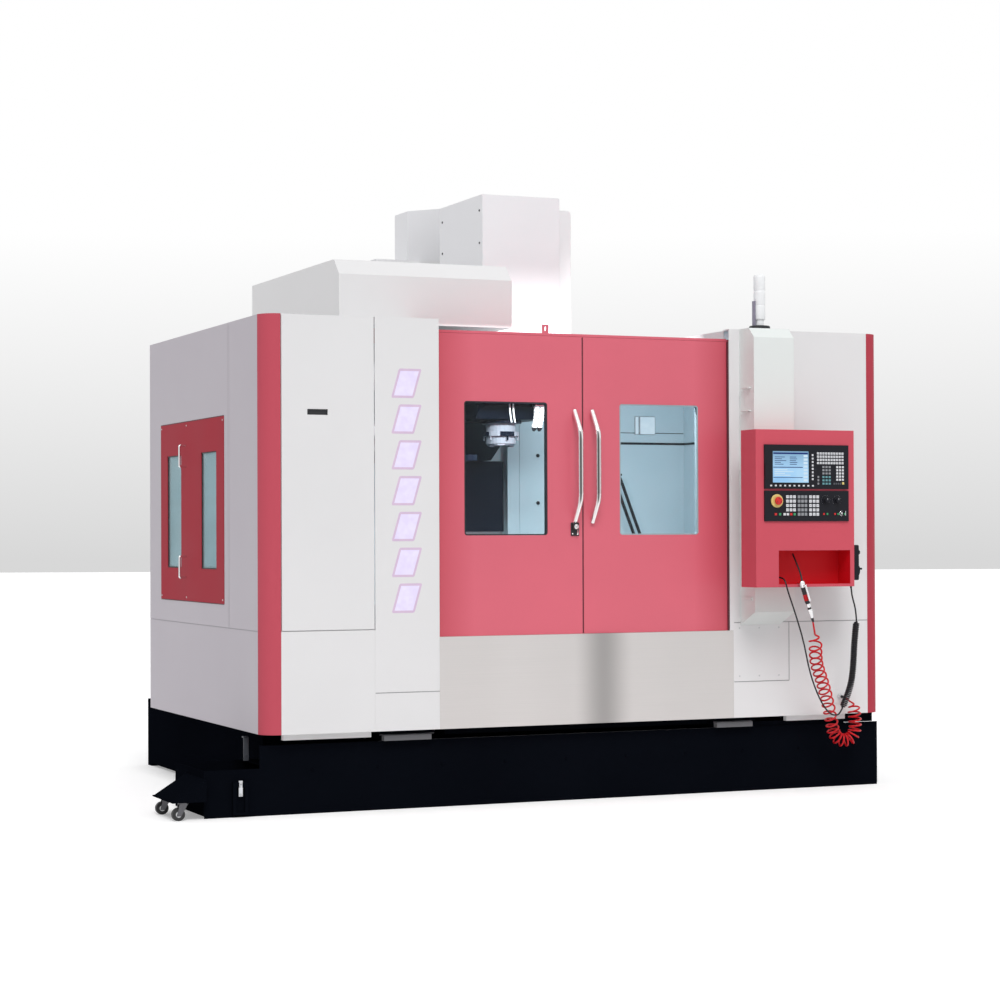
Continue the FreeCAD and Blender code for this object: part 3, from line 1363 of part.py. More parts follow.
def pendant_wheel():
    """The pulse wheel with its rim and crank knob."""
    face = pendant_x + pendant_depth + 0.3
    wheel = prism(V(face, pendant_y, wheel_z), V(12, 0, 0), 32, 20)
    stem = rod(V(face - 15, pendant_y, wheel_z), V(1, 0, 0), stem_radius, 15)
    crank = prism(V(face + 12, pendant_y - 16, wheel_z + 8), V(18, 0, 0), 5.5, 8)
    return wheel.fuse([stem, crank]).removeSplitter()


def gun_frame(shape):
    """Turn a shape drawn upright at the gun's corner to the gun's lean."""
    shape.rotate(V(gun_x, gun_y, gun_z), V(0, 1, 0), -gun_tilt)
    return shape


def air_gun():
    """The blow gun that hangs by its hook on the compartment's floor, nozzle up."""
    handle_low = gun_z - gun_length
    grip = prism(V(gun_x, gun_y, handle_low), V(0, 0, gun_length), 13.5, 10)
    tail = prism(V(gun_x, gun_y, handle_low - 12), V(0, 0, 14), 8, 6)
    ears = [box(gun_x - 9, gun_x - 4.3, pin_y - 5, gun_y, gun_z - 22, gun_z - 6),
            box(gun_x + 4.3, gun_x + 9, pin_y - 5, gun_y, gun_z - 22, gun_z - 6)]
    pin = rod(V(gun_x - 9, pin_y, gun_z - 14), V(1, 0, 0), 2.5, 18)
    handle = gun_frame(grip.fuse([tail, pin] + ears))
    along = V(24, 130, 143)
    corner = V(gun_x, gun_y, gun_z)
    knuckle = prism(corner - along * 0.09, along * 0.24, 15, 8)
    tip = corner + along
    nozzle = Part.makeLoft([polygon_ring(corner, along, 7, 8), polygon_ring(tip, along, 3.5, 8)], True, True)
    hook = box(gun_x - 6, gun_x + 6, gun_y, box_front + 12, pocket_bottom + 0.2, pocket_bottom + 4.2)
    return handle.fuse([knuckle, nozzle, hook]).removeSplitter()


def air_gun_trigger():
    """The lever on the front of the grip."""
    lever = box(gun_x - 4, gun_x + 4, pin_y - 4, pin_y + 1, gun_z - 95, gun_z - 14)
    eye = rod(V(gun_x - 4, pin_y, gun_z - 14), V(1, 0, 0), 4.5, 8)
    bore = rod(V(gun_x - 5, pin_y, gun_z - 14), V(1, 0, 0), 2.5 + running, 10)
    return gun_frame(lever.fuse(eye).cut(bore))


def route_bends(points):
    """Bend radii that take 0.45 of the shorter run at every corner."""
    bends = []
    for before, corner, after in zip(points, points[1:], points[2:]):
        turn = (corner - before).getAngle(after - corner)
        bends.append(0.45 * min((corner - before).Length, (after - corner).Length) / math.tan(turn / 2))
    return bends


def tube_along(name, points, radius, sides):
    """A cord with tangent arcs; prints its radii, its length and its volume against its section."""
    bends = route_bends(points)
    path = rounded_path(points, bends)
    along = (points[1] - points[0]).normalize()
    ring = polygon_ring(points[0], along, radius, sides)
    tube = path.makePipeShell([ring], True, False)
    section = Part.Face(ring).Area
    print(name, "length", round(path.Length, 1), "radii", [round(b) for b in bends],
          "volume ratio", round(tube.Volume / (section * path.Length), 4))
    return tube


def cable_route():
    """Corner points of the pendant cable: from the pendant down and back up to the box."""
    exit_x = pendant_x + 22
    exit_z = pendant_bottom - 10
    from_pendant = [(0, 0, 0), (0, 0, -56), (26, 3, -126), (34, 5, -196), (21, 5, -296), (13, 5, -446),
                    (-6, 5, -547), (-53, 5, -641)]
    drop = [V(exit_x + x, pendant_y + y, exit_z + z) for x, y, z in from_pendant]
    from_end = [(360, 78, -704), (315, 76, -698), (268, 72, -646), (224, 64, -571), (178, 50, -469),
                (132, 25, -318), (50, -25, -163), (6, -36, -66), (0, -22, -10), (0, 30, 0)]
    rise = [V(cable_end_x + x, box_front + y, cable_end_z + z) for x, y, z in from_end]
    rise.append(V(cable_end_x, box_front + pocket_depth - 14, cable_end_z))
    return drop[:4], drop[3:], [drop[-1]] + rise


def pendant_cable():
    upper, curly, lower = cable_route()
    thin_top = tube_along("pendant cable top", upper, cable_radius, 6)
    fat = tube_along("pendant cable curls", curly, curl_radius, 8)
    thin_low = tube_along("pendant cable bottom", lower, cable_radius, 6)
    return thin_top.fuse([fat, thin_low])


def hose_axis():
    """The centre line that the hose's coils follow, from the gun to the socket: a clamped quadratic curve."""
    from_gun = [(74, 0, -255), (71, -9, -307), (122, 76, -402), (183, 125, -487), (244, 180, -579)]
    from_socket = [(-126, -113, -68), (-75, -78, -221), (38, -81, -216), (49, -79, -90), (27, -80, -30)]
    poles = [V(gun_x + x, gun_y + y, gun_z + z) for x, y, z in from_gun]
    poles += [V(socket_x + x, y, socket_z + z) for x, y, z in from_socket]
    spans = len(poles) - 2
    mults = [3] + [1] * (spans - 1) + [3]
    curve = Part.BSplineCurve()
    curve.buildFromPolesMultsKnots(poles, mults, [float(index) for index in range(spans + 1)], False, 2)
    return curve


def hose_points():
    """Points and tangents of the coil, a quarter turn apart, along the centre line."""
    curve = hose_axis()
    total = curve.length()
    steps = 1200
    step = total / steps
    angle = 0.0
    across = V(0, 1, 0)
    points = []
    due = 0.0
    for index in range(steps + 1):
        at = curve.parameterAtDistance(index * step, curve.FirstParameter)
        centre = curve.value(at)
        along = V(*curve.tangent(at)[0]).normalize()
        across = (across - along * across.dot(along)).normalize()
        up = along.cross(across)
        share = min(max((index * step / total - 0.55) / 0.12, 0.0), 1.0)
        pitch = hose_open_pitch + (hose_close_pitch - hose_open_pitch) * share
        if angle >= due:
            out = across * math.cos(angle) + up * math.sin(angle)
            turn = up * math.cos(angle) - across * math.sin(angle)
            rise = pitch / (2 * math.pi * hose_coil_radius)
            points.append((centre + out * hose_coil_radius, (turn + along * rise).normalize()))
            due += 2 * math.pi / quarters
        angle += 2 * math.pi * step / pitch
    return points


def biarc(a, ta, b, tb):
    """Two tangent arcs from point a with tangent ta to point b with tangent tb."""
    span = b - a
    both = ta + tb
    bend = 2 * (1 - ta.dot(tb))
    half = span.dot(both)
    if bend < 1e-6:
        reach = span.Length / 4
    else:
        reach = (-half + math.sqrt(half * half + bend * span.dot(span))) / bend
    first = a + ta * reach
    second = b - tb * reach
    joint = (first + second) * 0.5
    return [tangent_arc(a, first, joint), tangent_arc(joint, second, b)]


def tangent_arc(a, apex, b):
    """The arc from a to b whose end tangents meet at the apex."""
    middle = (a + b) * 0.5
    chord = (b - a).Length / 2
    height = (apex - middle).Length
    if height < 1e-4:
        return Part.LineSegment(a, b).toShape()
    sagitta = chord * math.tan(math.atan2(height, chord) / 2)
    top = middle + (apex - middle) * (sagitta / height)
    return Part.Arc(a, top, b).toShape()


def air_hose():
    """The spiral hose: a straight lead, its coils on biarcs, and a straight lead into the socket."""
    lead = gun_frame(Part.Vertex(V(gun_x, gun_y, gun_z - gun_length - 12))).Point
    lead_down = V(math.sin(math.radians(gun_tilt)), 0, -math.cos(math.radians(gun_tilt)))
    lead_end = lead + lead_down * (2.5 * hose_radius)
    coil = hose_points()
    end = V(socket_x, -socket_length, socket_z)
    end_start = end - V(0, 2.5 * hose_radius, 0)
    edges = [Part.LineSegment(lead, lead_end).toShape()]
    edges += biarc(lead_end, lead_down, coil[0][0], coil[0][1])
    for (a, ta), (b, tb) in zip(coil, coil[1:]):
        edges += biarc(a, ta, b, tb)
    edges += biarc(coil[-1][0], coil[-1][1], end_start, V(0, 1, 0))
    edges.append(Part.LineSegment(end_start, end).toShape())
    path = Part.Wire(edges)
    ring = polygon_ring(lead, lead_down, hose_radius, hose_sides)
    hose = path.makePipeShell([ring], True, False)
    section = Part.Face(ring).Area
    print("air hose turns", (len(coil) - 1) / quarters, "length", round(path.Length),
          "volume ratio", round(hose.Volume / (section * path.Length), 4), "least gap", hose_gap(edges))
    return hose


def hose_gap(edges):
    """Least distance between turns that aren't next to each other along the hose, less its width."""
    dots = []
    travelled = 0.0
    for edge in edges:
        for share in (0.0, 0.25, 0.5, 0.75):
            at = edge.FirstParameter + share * (edge.LastParameter - edge.FirstParameter)
            dots.append((travelled + share * edge.Length, edge.valueAt(at)))
        travelled += edge.Length
    least = 1e9
    for index, (here, point) in enumerate(dots):
        for there, other in dots[index + 1:]:
            if there - here > 60 and there - here < 500:
                least = min(least, point.distanceToPoint(other))
    return round(least - 2 * hose_radius, 2)


# Signal tower --------------------------------------------------------------------------------


def signal_tower():
    """A flanged foot, a short pole, three lens sections and a cap, with a side bracket."""
    z = encl_top
    foot = prism(V(tower_x, tower_y, z), V(0, 0, 11), 55, 16)
    pole = prism(V(tower_x, tower_y, z + 10), V(0, 0, 52), 22, 12)
    bracket = box(tower_x - 48, tower_x - 20, tower_y - 12, tower_y + 12, z + 8, z + 54)
    whole = foot.fuse([pole, bracket])
    for index in range(4):
        height = 74 if index < 3 else 8
        radius = tower_radius if index < 3 else tower_radius - 4
        whole = whole.fuse(prism(V(tower_x, tower_y, z + 62 + 75 * index), V(0, 0, height), radius, 16))
        if index < 3:
            whole = whole.fuse(prism(V(tower_x, tower_y, z + 135 + 75 * index), V(0, 0, 3), tower_radius - 3, 16))
    return whole.removeSplitter()


# Nodes ---------------------------------------------------------------------------------------

leftmost = caster_x - caster_trail - wheel_radius
leftmost = min(leftmost, caster_x - 60)
rightmost = tank_right
frontmost = pin_y - 5
rearmost = bed_back
origin_x = (leftmost + rightmost) / 2
origin_y = (frontmost + rearmost) / 2

nodes = {
    "side_walls": lambda: Part.makeCompound([left_side_wall(), right_side_wall()]),
    "corner_posts": corner_posts,
    "hatch_frame": hatch_frame,
    "hatch": hatch,
    "light_panel": light_panel,
    "light_bars": light_bars,
    "right_front_panel": right_front,
    "door_header": door_header,
    "stainless_apron": apron,
    "rear_wall": rear_wall,
    "roof_panels": roof_panels,
    "magazine_hood": magazine_hood,
    "splash_walls": splash_walls,
    "service_panel": service_panel,
    "service_glass": service_glass,
    "service_handles": service_handles,
    "service_screen": service_screen,
    "left_door": lambda: door("left"),
    "left_door_glass": lambda: pane_box("left", 0),
    "left_door_handle": lambda: Part.makeCompound([door_handle("left"), door_lock()]),
    "right_door": lambda: door("right"),
    "right_door_glass": lambda: pane_box("right", 0),
    "right_door_handle": lambda: door_handle("right"),
    "bed_casting": bed,
    "base_trays": base_trays,
    "coolant_tank": coolant_tank,
    "caster_fork_front": lambda: caster_fork(caster_front_y),
    "caster_fork_rear": lambda: caster_fork(caster_front_y + caster_spacing),
    "caster_wheel_front": lambda: caster_wheel(caster_front_y),
    "caster_wheel_rear": lambda: caster_wheel(caster_front_y + caster_spacing),
    "column": column,
    "z_motor_cover": z_drive_cover,
    "saddle": saddle,
    "table": table,
    "x_cover_mid": lambda: x_covers(1),
    "y_cover_mid": lambda: y_cover(1),
    "z_cover_mid": lambda: z_cover(1),
    "head_casting": head,
    "head_cover": head_cover,
    "spindle": spindle,
    "carousel": carousel,
    "tool_changer": tool_changer,
    "cabinet": cabinet,
    "cabinet_door": cabinet_door,
    "control_post": control_post,
    "control_box": control_box,
    "display_unit": display_unit,
    "operator_panel": operator_panel,
    "panel_keys": panel_keys,
    "emergency_stop": emergency_stop,
    "feed_knob": lambda: selector_knob(feed_x),
    "spindle_knob": lambda: selector_knob(speed_x),
    "key_switch": key_switch,
    "pendant": pendant,
    "pendant_wheel": pendant_wheel,
    "pendant_cable": pendant_cable,
    "air_gun": air_gun,
    "air_gun_trigger": air_gun_trigger,
    "air_hose": air_hose,
    "signal_tower": signal_tower,
}

for name, build in nodes.items():
    shape = build()
    shape.translate(V(-origin_x, -origin_y, 0))
    shape.exportStep("parts/" + name + ".step")
    reach = shape.BoundBox
    print(name, len(shape.Solids), shape.isValid(), [round(v, 1) for v in (
        reach.XMin, reach.XMax, reach.YMin, reach.YMax, reach.ZMin, reach.ZMax)])
print("nodes", len(nodes), "origin", origin_x, origin_y)
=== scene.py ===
import bpy
import bmesh
import math
from mathutils import Matrix, Vector


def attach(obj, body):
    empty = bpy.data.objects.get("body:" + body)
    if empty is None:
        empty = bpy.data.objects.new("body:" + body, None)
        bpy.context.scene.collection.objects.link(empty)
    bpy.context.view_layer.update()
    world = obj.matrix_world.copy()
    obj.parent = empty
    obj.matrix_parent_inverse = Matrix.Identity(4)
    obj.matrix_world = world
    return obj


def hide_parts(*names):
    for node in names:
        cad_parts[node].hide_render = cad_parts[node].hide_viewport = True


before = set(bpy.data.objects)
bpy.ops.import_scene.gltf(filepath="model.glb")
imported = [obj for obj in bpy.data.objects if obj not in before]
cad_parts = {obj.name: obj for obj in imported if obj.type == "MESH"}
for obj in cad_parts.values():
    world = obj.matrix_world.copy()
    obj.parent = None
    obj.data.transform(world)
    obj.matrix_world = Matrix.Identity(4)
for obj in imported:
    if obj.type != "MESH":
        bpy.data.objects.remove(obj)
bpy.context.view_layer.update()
print("frame loaded", len(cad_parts), "nodes")

# Sizes and places are millimetres, measured from the front left corner of the enclosure on the floor.
corner = {"x": 1470.0, "y": 1185.5}
metre = 1000


def at(x, y, z):
    return Vector(((x - corner["x"]) / metre, (y - corner["y"]) / metre, z / metre))


# Finishes, made of nodes in object coordinates. Places inside a finish are in the frame's metres.

def addNode(tree, kind, inputs=None, **settings):
    node = tree.nodes.new("ShaderNode" + kind)
    for key, value in settings.items():
        setattr(node, key, value)
    for key, value in (inputs or {}).items():
        if isinstance(value, bpy.types.NodeSocket):
            tree.links.new(value, node.inputs[key])
        else:
            node.inputs[key].default_value = value
    return node


def startFinish(name):
    finish = bpy.data.materials.new(name)
    finish.use_nodes = True
    tree = finish.node_tree
    tree.nodes.clear()
    coords = addNode(tree, "TexCoord").outputs["Object"]
    out = addNode(tree, "OutputMaterial")
    return finish, tree, coords, out


def compute(tree, operation, first, second=0.0):
    return addNode(tree, "Math", {0: first, 1: second}, operation=operation).outputs[0]


def axisOf(tree, coords, axis):
    return addNode(tree, "SeparateXYZ", {"Vector": coords}).outputs[axis]


def noise(tree, coords, scale, detail, roughness=0.5):
    cloud = addNode(tree, "TexNoise", {"Vector": coords, "Scale": scale, "Detail": detail,
                                       "Roughness": roughness})
    return cloud.outputs["Fac"]


def stretch(tree, coords, scale):
    return addNode(tree, "Mapping", {"Vector": coords, "Scale": scale}).outputs[0]


def mixColour(tree, share, first, second):
    return addNode(tree, "Mix", {0: share, 6: first, 7: second}, data_type="RGBA").outputs[2]


def remap(tree, value, low, high, fromLow=0.3, fromHigh=0.7):
    return addNode(tree, "MapRange", {"Value": value, "From Min": fromLow, "From Max": fromHigh,
                                      "To Min": low, "To Max": high}).outputs[0]


def shade(colour, factor):
    return tuple(min(c * factor, 1.0) for c in colour[:3]) + (1.0,)


def roundedEdges(tree, height, look, distance):  # soft edges under a fine grain
    edge = addNode(tree, "Bevel", {"Radius": look["edge"]}, samples=4).outputs["Normal"]
    return addNode(tree, "Bump", {"Strength": look["bump"], "Distance": distance, "Height": height,
                                  "Normal": edge}).outputs["Normal"]


def splitColour(tree, coords, base, axis, level, second):  # another colour below a height or left of a line
    below = compute(tree, "LESS_THAN", axisOf(tree, coords, axis), level)
    return mixColour(tree, below, base, second)


def paintShadeOnDoorSides(tree, coords, base, middle, inner, outer, deep):  # painted shade: darker towards the outer edges of both doors
    away = compute(tree, "ABSOLUTE", compute(tree, "SUBTRACT", axisOf(tree, coords, "X"), middle))
    return mixColour(tree, remap(tree, away, 0.0, 0.75, inner, outer), base, deep)


def bandSlats(tree, coords, base, often, second):  # the uneven light on slats seen through a pane
    layers = noise(tree, stretch(tree, coords, (0.4, 0.4, often)), 1.0, 2.0)
    return mixColour(tree, remap(tree, layers, 0.0, 1.0, 0.42, 0.58), base, second)


def colourOrShadeBlock(tree, coords, base, centre, half, second):  # one block of space in another colour: a colour of its own, or painted shade
    away = addNode(tree, "VectorMath", {0: coords, 1: at(*centre)}, operation="SUBTRACT").outputs[0]
    away = addNode(tree, "VectorMath", {0: away, 1: half}, operation="DIVIDE").outputs[0]
    away = addNode(tree, "VectorMath", {0: away}, operation="ABSOLUTE").outputs[0]
    far = compute(tree, "MAXIMUM", axisOf(tree, away, "X"), axisOf(tree, away, "Y"))
    far = compute(tree, "MAXIMUM", far, axisOf(tree, away, "Z"))
    return mixColour(tree, compute(tree, "LESS_THAN", far, 1.0), base, second)


paintLayers = {"split": splitColour, "sides": paintShadeOnDoorSides, "banded": bandSlats, "pocket": colourOrShadeBlock}
paintHabit = {"tone": 0.03, "cloudScale": 1.7, "speckScale": 55.0, "speck": 0.25, "grainScale": 420.0,
              "edge": 0.0022, "bump": 0.12, "coat": 0.0, "specular": 0.5}


def paintFinish(name, look):
    look = paintHabit | look
    finish, tree, coords, out = startFinish(name)
    colour, tone, rough = look["colour"], look["tone"], look["rough"]
    clouds = noise(tree, coords, look["cloudScale"], 3.0)
    specks = noise(tree, coords, look["speckScale"], 4.0)
    base = mixColour(tree, remap(tree, clouds, 0.0, 1.0), shade(colour, 1 - tone), shade(colour, 1 + tone))
    speckled = remap(tree, specks, 0.0, look["speck"], 0.55, 0.8)
    base = mixColour(tree, speckled, base, shade(colour, 1 - 3 * tone))
    for key, addLayer in paintLayers.items():
        if key in look:
            base = addLayer(tree, coords, base, *look[key])
    grain = noise(tree, coords, look["grainScale"], 2.0)
    shader = addNode(tree, "BsdfPrincipled", {
        "Base Color": base, "Normal": roundedEdges(tree, grain, look, 0.0006),
        "Roughness": remap(tree, clouds, rough * 0.88, rough * 1.12),
        "Coat Weight": look["coat"], "Coat Roughness": 0.12, "Specular IOR Level": look["specular"]})
    tree.links.new(shader.outputs[0], out.inputs["Surface"])
    return finish


def paintedReflectionBand(tree, coords, base, colour, middle, half, depth):  # painted reflection: a soft upright darker band
    away = compute(tree, "ABSOLUTE", compute(tree, "SUBTRACT", axisOf(tree, coords, "X"), middle))
    near = addNode(tree, "MapRange", {"Value": away, "From Min": 0.0, "From Max": half, "To Min": 0.85,
                                      "To Max": 0.0}, interpolation_type="SMOOTHSTEP").outputs[0]
    return mixColour(tree, near, base, shade(colour, depth))


def paintedReflectionCore(tree, coords, base, colour, start, end, depth):  # painted reflection down the middle of a round piece, where it faces the eye
    turned = addNode(tree, "LayerWeight", {"Blend": 0.5}).outputs["Facing"]
    return mixColour(tree, remap(tree, turned, 1.0, 0.0, start, end), base, shade(colour, depth))


metalLayers = {"polish": paintedReflectionBand, "core": paintedReflectionCore}
metalHabit = {"bands": (1.3, 1.3, 0.25), "tone": 0.06, "soft": 0.35, "edge": 0.0015, "bump": 0.1,
              "metal": 1.0, "anisotropy": 0.4}


def metalFinish(name, look):
    look = metalHabit | look
    finish, tree, coords, out = startFinish(name)
    colour, tone, rough = look["colour"], look["tone"], look["rough"]
    lines = noise(tree, stretch(tree, coords, look["grain"]), 1.0, 5.0, 0.7)
    soft = noise(tree, stretch(tree, coords, look["bands"]), 1.0, 2.0)
    base = mixColour(tree, remap(tree, lines, 0.0, 1.0), shade(colour, 1 - tone), shade(colour, 1 + tone))
    base = mixColour(tree, remap(tree, soft, 0.0, look["soft"]), base, shade(colour, 0.8))
    for key, addLayer in metalLayers.items():
        if key in look:
            base = addLayer(tree, coords, base, colour, *look[key])
    shader = addNode(tree, "BsdfPrincipled", {
        "Base Color": base, "Normal": roundedEdges(tree, lines, look, 0.0005), "Metallic": look["metal"],
        "Roughness": remap(tree, lines, rough * 0.8, rough * 1.25), "Anisotropic": look["anisotropy"]})
    tree.links.new(shader.outputs[0], out.inputs["Surface"])
    return finish


def paneFinish(name, look):
    finish, tree, coords, out = startFinish(name)
    clear, tint = look["clear"] + (1.0,), look["tint"] + (1.0,)
    wave = noise(tree, coords, 3.0, 1.0)
    ripple = addNode(tree, "Bump", {"Strength": 0.04, "Distance": 0.002, "Height": wave}).outputs["Normal"]
    film = mixColour(tree, remap(tree, wave, 0.0, 1.0), clear, tint)
    through = addNode(tree, "BsdfTransparent", {"Color": film})
    gloss = addNode(tree, "BsdfPrincipled", {"Base Color": mixColour(tree, 0.5, film, tint),
                                             "Roughness": 0.04, "Normal": ripple})
    facing = addNode(tree, "Fresnel", {"IOR": look["index"], "Normal": ripple}).outputs[0]
    both = addNode(tree, "MixShader", {0: remap(tree, facing, look["least"], 1.0, 0.0, 1.0)})
    tree.links.new(through.outputs[0], both.inputs[1])
    tree.links.new(gloss.outputs[0], both.inputs[2])
    tree.links.new(both.outputs[0], out.inputs["Surface"])
    return finish


def litFinish(name, look):
    finish, tree, coords, out = startFinish(name)
    cells = noise(tree, coords, look.get("cellScale", 30.0), 1.0)
    glow = mixColour(tree, remap(tree, cells, 0.0, 1.0), look["glow"] + (1.0,), look["glowEdge"] + (1.0,))
    if "fall" in look:  # darker towards the top of a screen
        low, high = look["fall"]
        lowered = remap(tree, axisOf(tree, coords, "Z"), 0.0, 0.75, low, high)
        glow = mixColour(tree, lowered, glow, shade(look["glow"], 0.45))
    shader = addNode(tree, "BsdfPrincipled", {
        "Base Color": shade(look["glow"], 0.08), "Emission Color": glow,
        "Emission Strength": look["strength"], "Roughness": 0.3, "Specular IOR Level": 0.2})
    tree.links.new(shader.outputs[0], out.inputs["Surface"])
    return finish


paints = {
    "whitePaint": {"colour": (0.76, 0.755, 0.76), "rough": 0.42, "tone": 0.012, "speck": 0.10, "coat": 0.1},
    # a darker, lavender copy of the white paint: painted shade on the side walls
    "wallPaint": {"colour": (0.50, 0.462, 0.508), "rough": 0.45, "tone": 0.012, "speck": 0.10},
    # lighter copies of the white paint: painted light on the motor cover, on the duct in the control box's
    # shade, and on the head cover
    "coverWhite": {"colour": (0.84, 0.84, 0.86), "rough": 0.45, "tone": 0.012, "speck": 0.10, "coat": 0.1},
    "ductWhite": {"colour": (0.755, 0.79, 0.775), "rough": 0.45, "tone": 0.012, "speck": 0.10},
    "headWhite": {"colour": (0.84, 0.84, 0.86), "rough": 0.45, "tone": 0.012, "speck": 0.10,
                  "split": ("Z", 2.28, (0.006, 0.010, 0.020, 1.0))},
    "columnPaint": {"colour": (0.84, 0.84, 0.85), "rough": 0.4, "tone": 0.02,
                    "pocket": ((1675, 1437, 1470), (0.50, 0.4485, 0.87), (0.50, 0.64, 0.70, 1.0))},
    # lighter than the control box's red: painted broad reflection on the doors and header, with painted shade
    # towards the doors' outer edges
    "redPaint": {"colour": (0.69, 0.126, 0.176), "rough": 0.40, "speck": 0.12, "coat": 0.06,
                 "sides": (0.2015, 0.60, 0.79, (0.50, 0.050, 0.078, 1.0))},
    # darker copies of the red: painted shade on the corner posts, darker still on the right post than the
    # left, and on the service panel in the left wall
    "postRed": {"colour": (0.46, 0.055, 0.080), "rough": 0.5, "speck": 0.12, "specular": 0.06,
                "split": ("X", 0.0, (0.53, 0.085, 0.118, 1.0))},
    "sideRed": {"colour": (0.40, 0.040, 0.058), "rough": 0.5, "speck": 0.12, "specular": 0.02},
    # its pocket is painted shade: a deeper red inside the open compartment at the bottom of the box
    "boxRed": {"colour": (0.60, 0.086, 0.120), "rough": 0.5, "speck": 0.12, "specular": 0.2,
               "pocket": ((2784, -223, 1143), (0.2085, 0.076, 0.086), (0.62, 0.006, 0.014, 1.0))},
    "basePaint": {"colour": (0.0032, 0.004, 0.0065), "rough": 0.6, "tone": 0.10, "bump": 0.3,
                  "grainScale": 160.0, "specular": 0.0,
                  "pocket": ((1605, 45, 344), (1.015, 0.020, 0.0155), (0.16, 0.16, 0.17, 1.0))},
    "greyPaint": {"colour": (0.42, 0.43, 0.45), "rough": 0.45, "tone": 0.04},
    "castPaint": {"colour": (0.50, 0.53, 0.56), "rough": 0.55, "tone": 0.05, "bump": 0.5, "grainScale": 90.0,
                  "edge": 0.006},
    "headPaint": {"colour": (0.006, 0.010, 0.020), "rough": 0.42, "tone": 0.06, "bump": 0.3,
                  "grainScale": 120.0, "edge": 0.004, "specular": 0.15,
                  "pocket": ((1675, 1090, 1850), (0.086, 0.086, 0.057), (0.34, 0.36, 0.41, 1.0))},
    "liningPaint": {"colour": (0.50, 0.64, 0.70), "rough": 0.33, "tone": 0.04, "coat": 0.2},
    "guardPaint": {"colour": (0.78, 0.88, 0.92), "rough": 0.4, "tone": 0.04,
                   "banded": (17.0, (0.40, 0.53, 0.57, 1.0))},
    "seamDark": {"colour": (0.34, 0.34, 0.35), "rough": 0.7, "tone": 0.1},
    "wallSeam": {"colour": (0.44, 0.42, 0.45), "rough": 0.7, "tone": 0.06},
    "sealGrey": {"colour": (0.34, 0.42, 0.46), "rough": 0.6, "tone": 0.08},
    "sealMaroon": {"colour": (0.085, 0.014, 0.024), "rough": 0.6, "tone": 0.1},
    "rubberBlack": {"colour": (0.012, 0.013, 0.016), "rough": 0.6, "tone": 0.12, "bump": 0.3,
                    "grainScale": 700.0, "edge": 0.0008},
    "darkPlastic": {"colour": (0.006, 0.0062, 0.0105), "rough": 0.42, "tone": 0.08, "bump": 0.3,
                    "grainScale": 900.0, "edge": 0.0012, "specular": 0.22},
    "keyWhite": {"colour": (0.70, 0.71, 0.74), "rough": 0.5, "tone": 0.04, "grainScale": 900.0,
                 "edge": 0.0006},
    "keyGrey": {"colour": (0.26, 0.27, 0.29), "rough": 0.5, "tone": 0.05, "grainScale": 900.0,
                "edge": 0.0006},
    "keyDark": {"colour": (0.075, 0.080, 0.095), "rough": 0.5, "tone": 0.05, "grainScale": 900.0,
                "edge": 0.0006},
    "keyTeal": {"colour": (0.12, 0.30, 0.33), "rough": 0.5, "tone": 0.05, "edge": 0.0006},
    "keyGreen": {"colour": (0.04, 0.30, 0.12), "rough": 0.45, "tone": 0.05, "edge": 0.0006},
    "ringYellow": {"colour": (0.78, 0.60, 0.20), "rough": 0.45, "tone": 0.04, "edge": 0.0006},
    "stopRed": {"colour": (0.62, 0.012, 0.010), "rough": 0.3, "tone": 0.05, "edge": 0.001},
    "hoseRed": {"colour": (0.56, 0.004, 0.010), "rough": 0.3, "tone": 0.06, "specular": 0.3, "bump": 0.05,
                "edge": 0.0001},
    "cableGrey": {"colour": (0.009, 0.008, 0.011), "rough": 0.36, "tone": 0.12, "specular": 0.3,
                  "edge": 0.0001},
    "wheelBlack": {"colour": (0.016, 0.016, 0.017), "rough": 0.62, "tone": 0.15, "edge": 0.0015},
    "frostedWhite": {"colour": (0.90, 0.91, 0.92), "rough": 0.35, "tone": 0.015, "coat": 0.2, "edge": 0.0015},
    "bracketViolet": {"colour": (0.27, 0.25, 0.33), "rough": 0.45, "tone": 0.04},
}

metals = {
    # its reflection band is painted reflection, a darker upright band on the apron
    "stainless": {"colour": (0.652, 0.624, 0.614), "grain": (2.0, 2.0, 900.0), "rough": 0.36, "tone": 0.05,
                  "bands": (1.6, 1.0, 0.35), "soft": 0.3, "polish": (0.286, 0.17, 0.50)},
    "groundSteel": {"colour": (0.56, 0.57, 0.58), "grain": (500.0, 4.0, 500.0), "rough": 0.3, "tone": 0.07},
    "chrome": {"colour": (0.86, 0.86, 0.87), "grain": (160.0, 160.0, 160.0), "rough": 0.09, "tone": 0.02,
               "soft": 0.1, "bump": 0.02, "anisotropy": 0.1},
    # its reflection core is a painted dark reflection down the middle of the door handles
    "handleSteel": {"colour": (0.90, 0.88, 0.88), "grain": (160.0, 160.0, 160.0), "rough": 0.16, "tone": 0.02,
                    "soft": 0.1, "bump": 0.02, "anisotropy": 0.1, "core": (0.015, 0.16, 0.12)},
    # its reflection core is a painted highlight down the middle of the spindle nose and tool holders
    "noseSteel": {"colour": (0.20, 0.22, 0.27), "grain": (40.0, 40.0, 700.0), "rough": 0.3, "tone": 0.05,
                  "soft": 0.1, "bump": 0.04, "metal": 0.4, "core": (0.01, 0.09, 4.0)},
    "forkDark": {"colour": (0.13, 0.13, 0.14), "grain": (60.0, 60.0, 60.0), "rough": 0.3, "tone": 0.08},
    "zinc": {"colour": (0.60, 0.61, 0.62), "grain": (60.0, 60.0, 60.0), "rough": 0.33, "tone": 0.08},
}

panes = {
    "paneGlass": {"clear": (0.93, 0.97, 0.985), "tint": (0.88, 0.94, 0.96), "index": 1.22, "least": 0.0},
    "servicePane": {"clear": (0.84, 0.93, 0.95), "tint": (0.74, 0.87, 0.90), "index": 1.3, "least": 0.02},
}

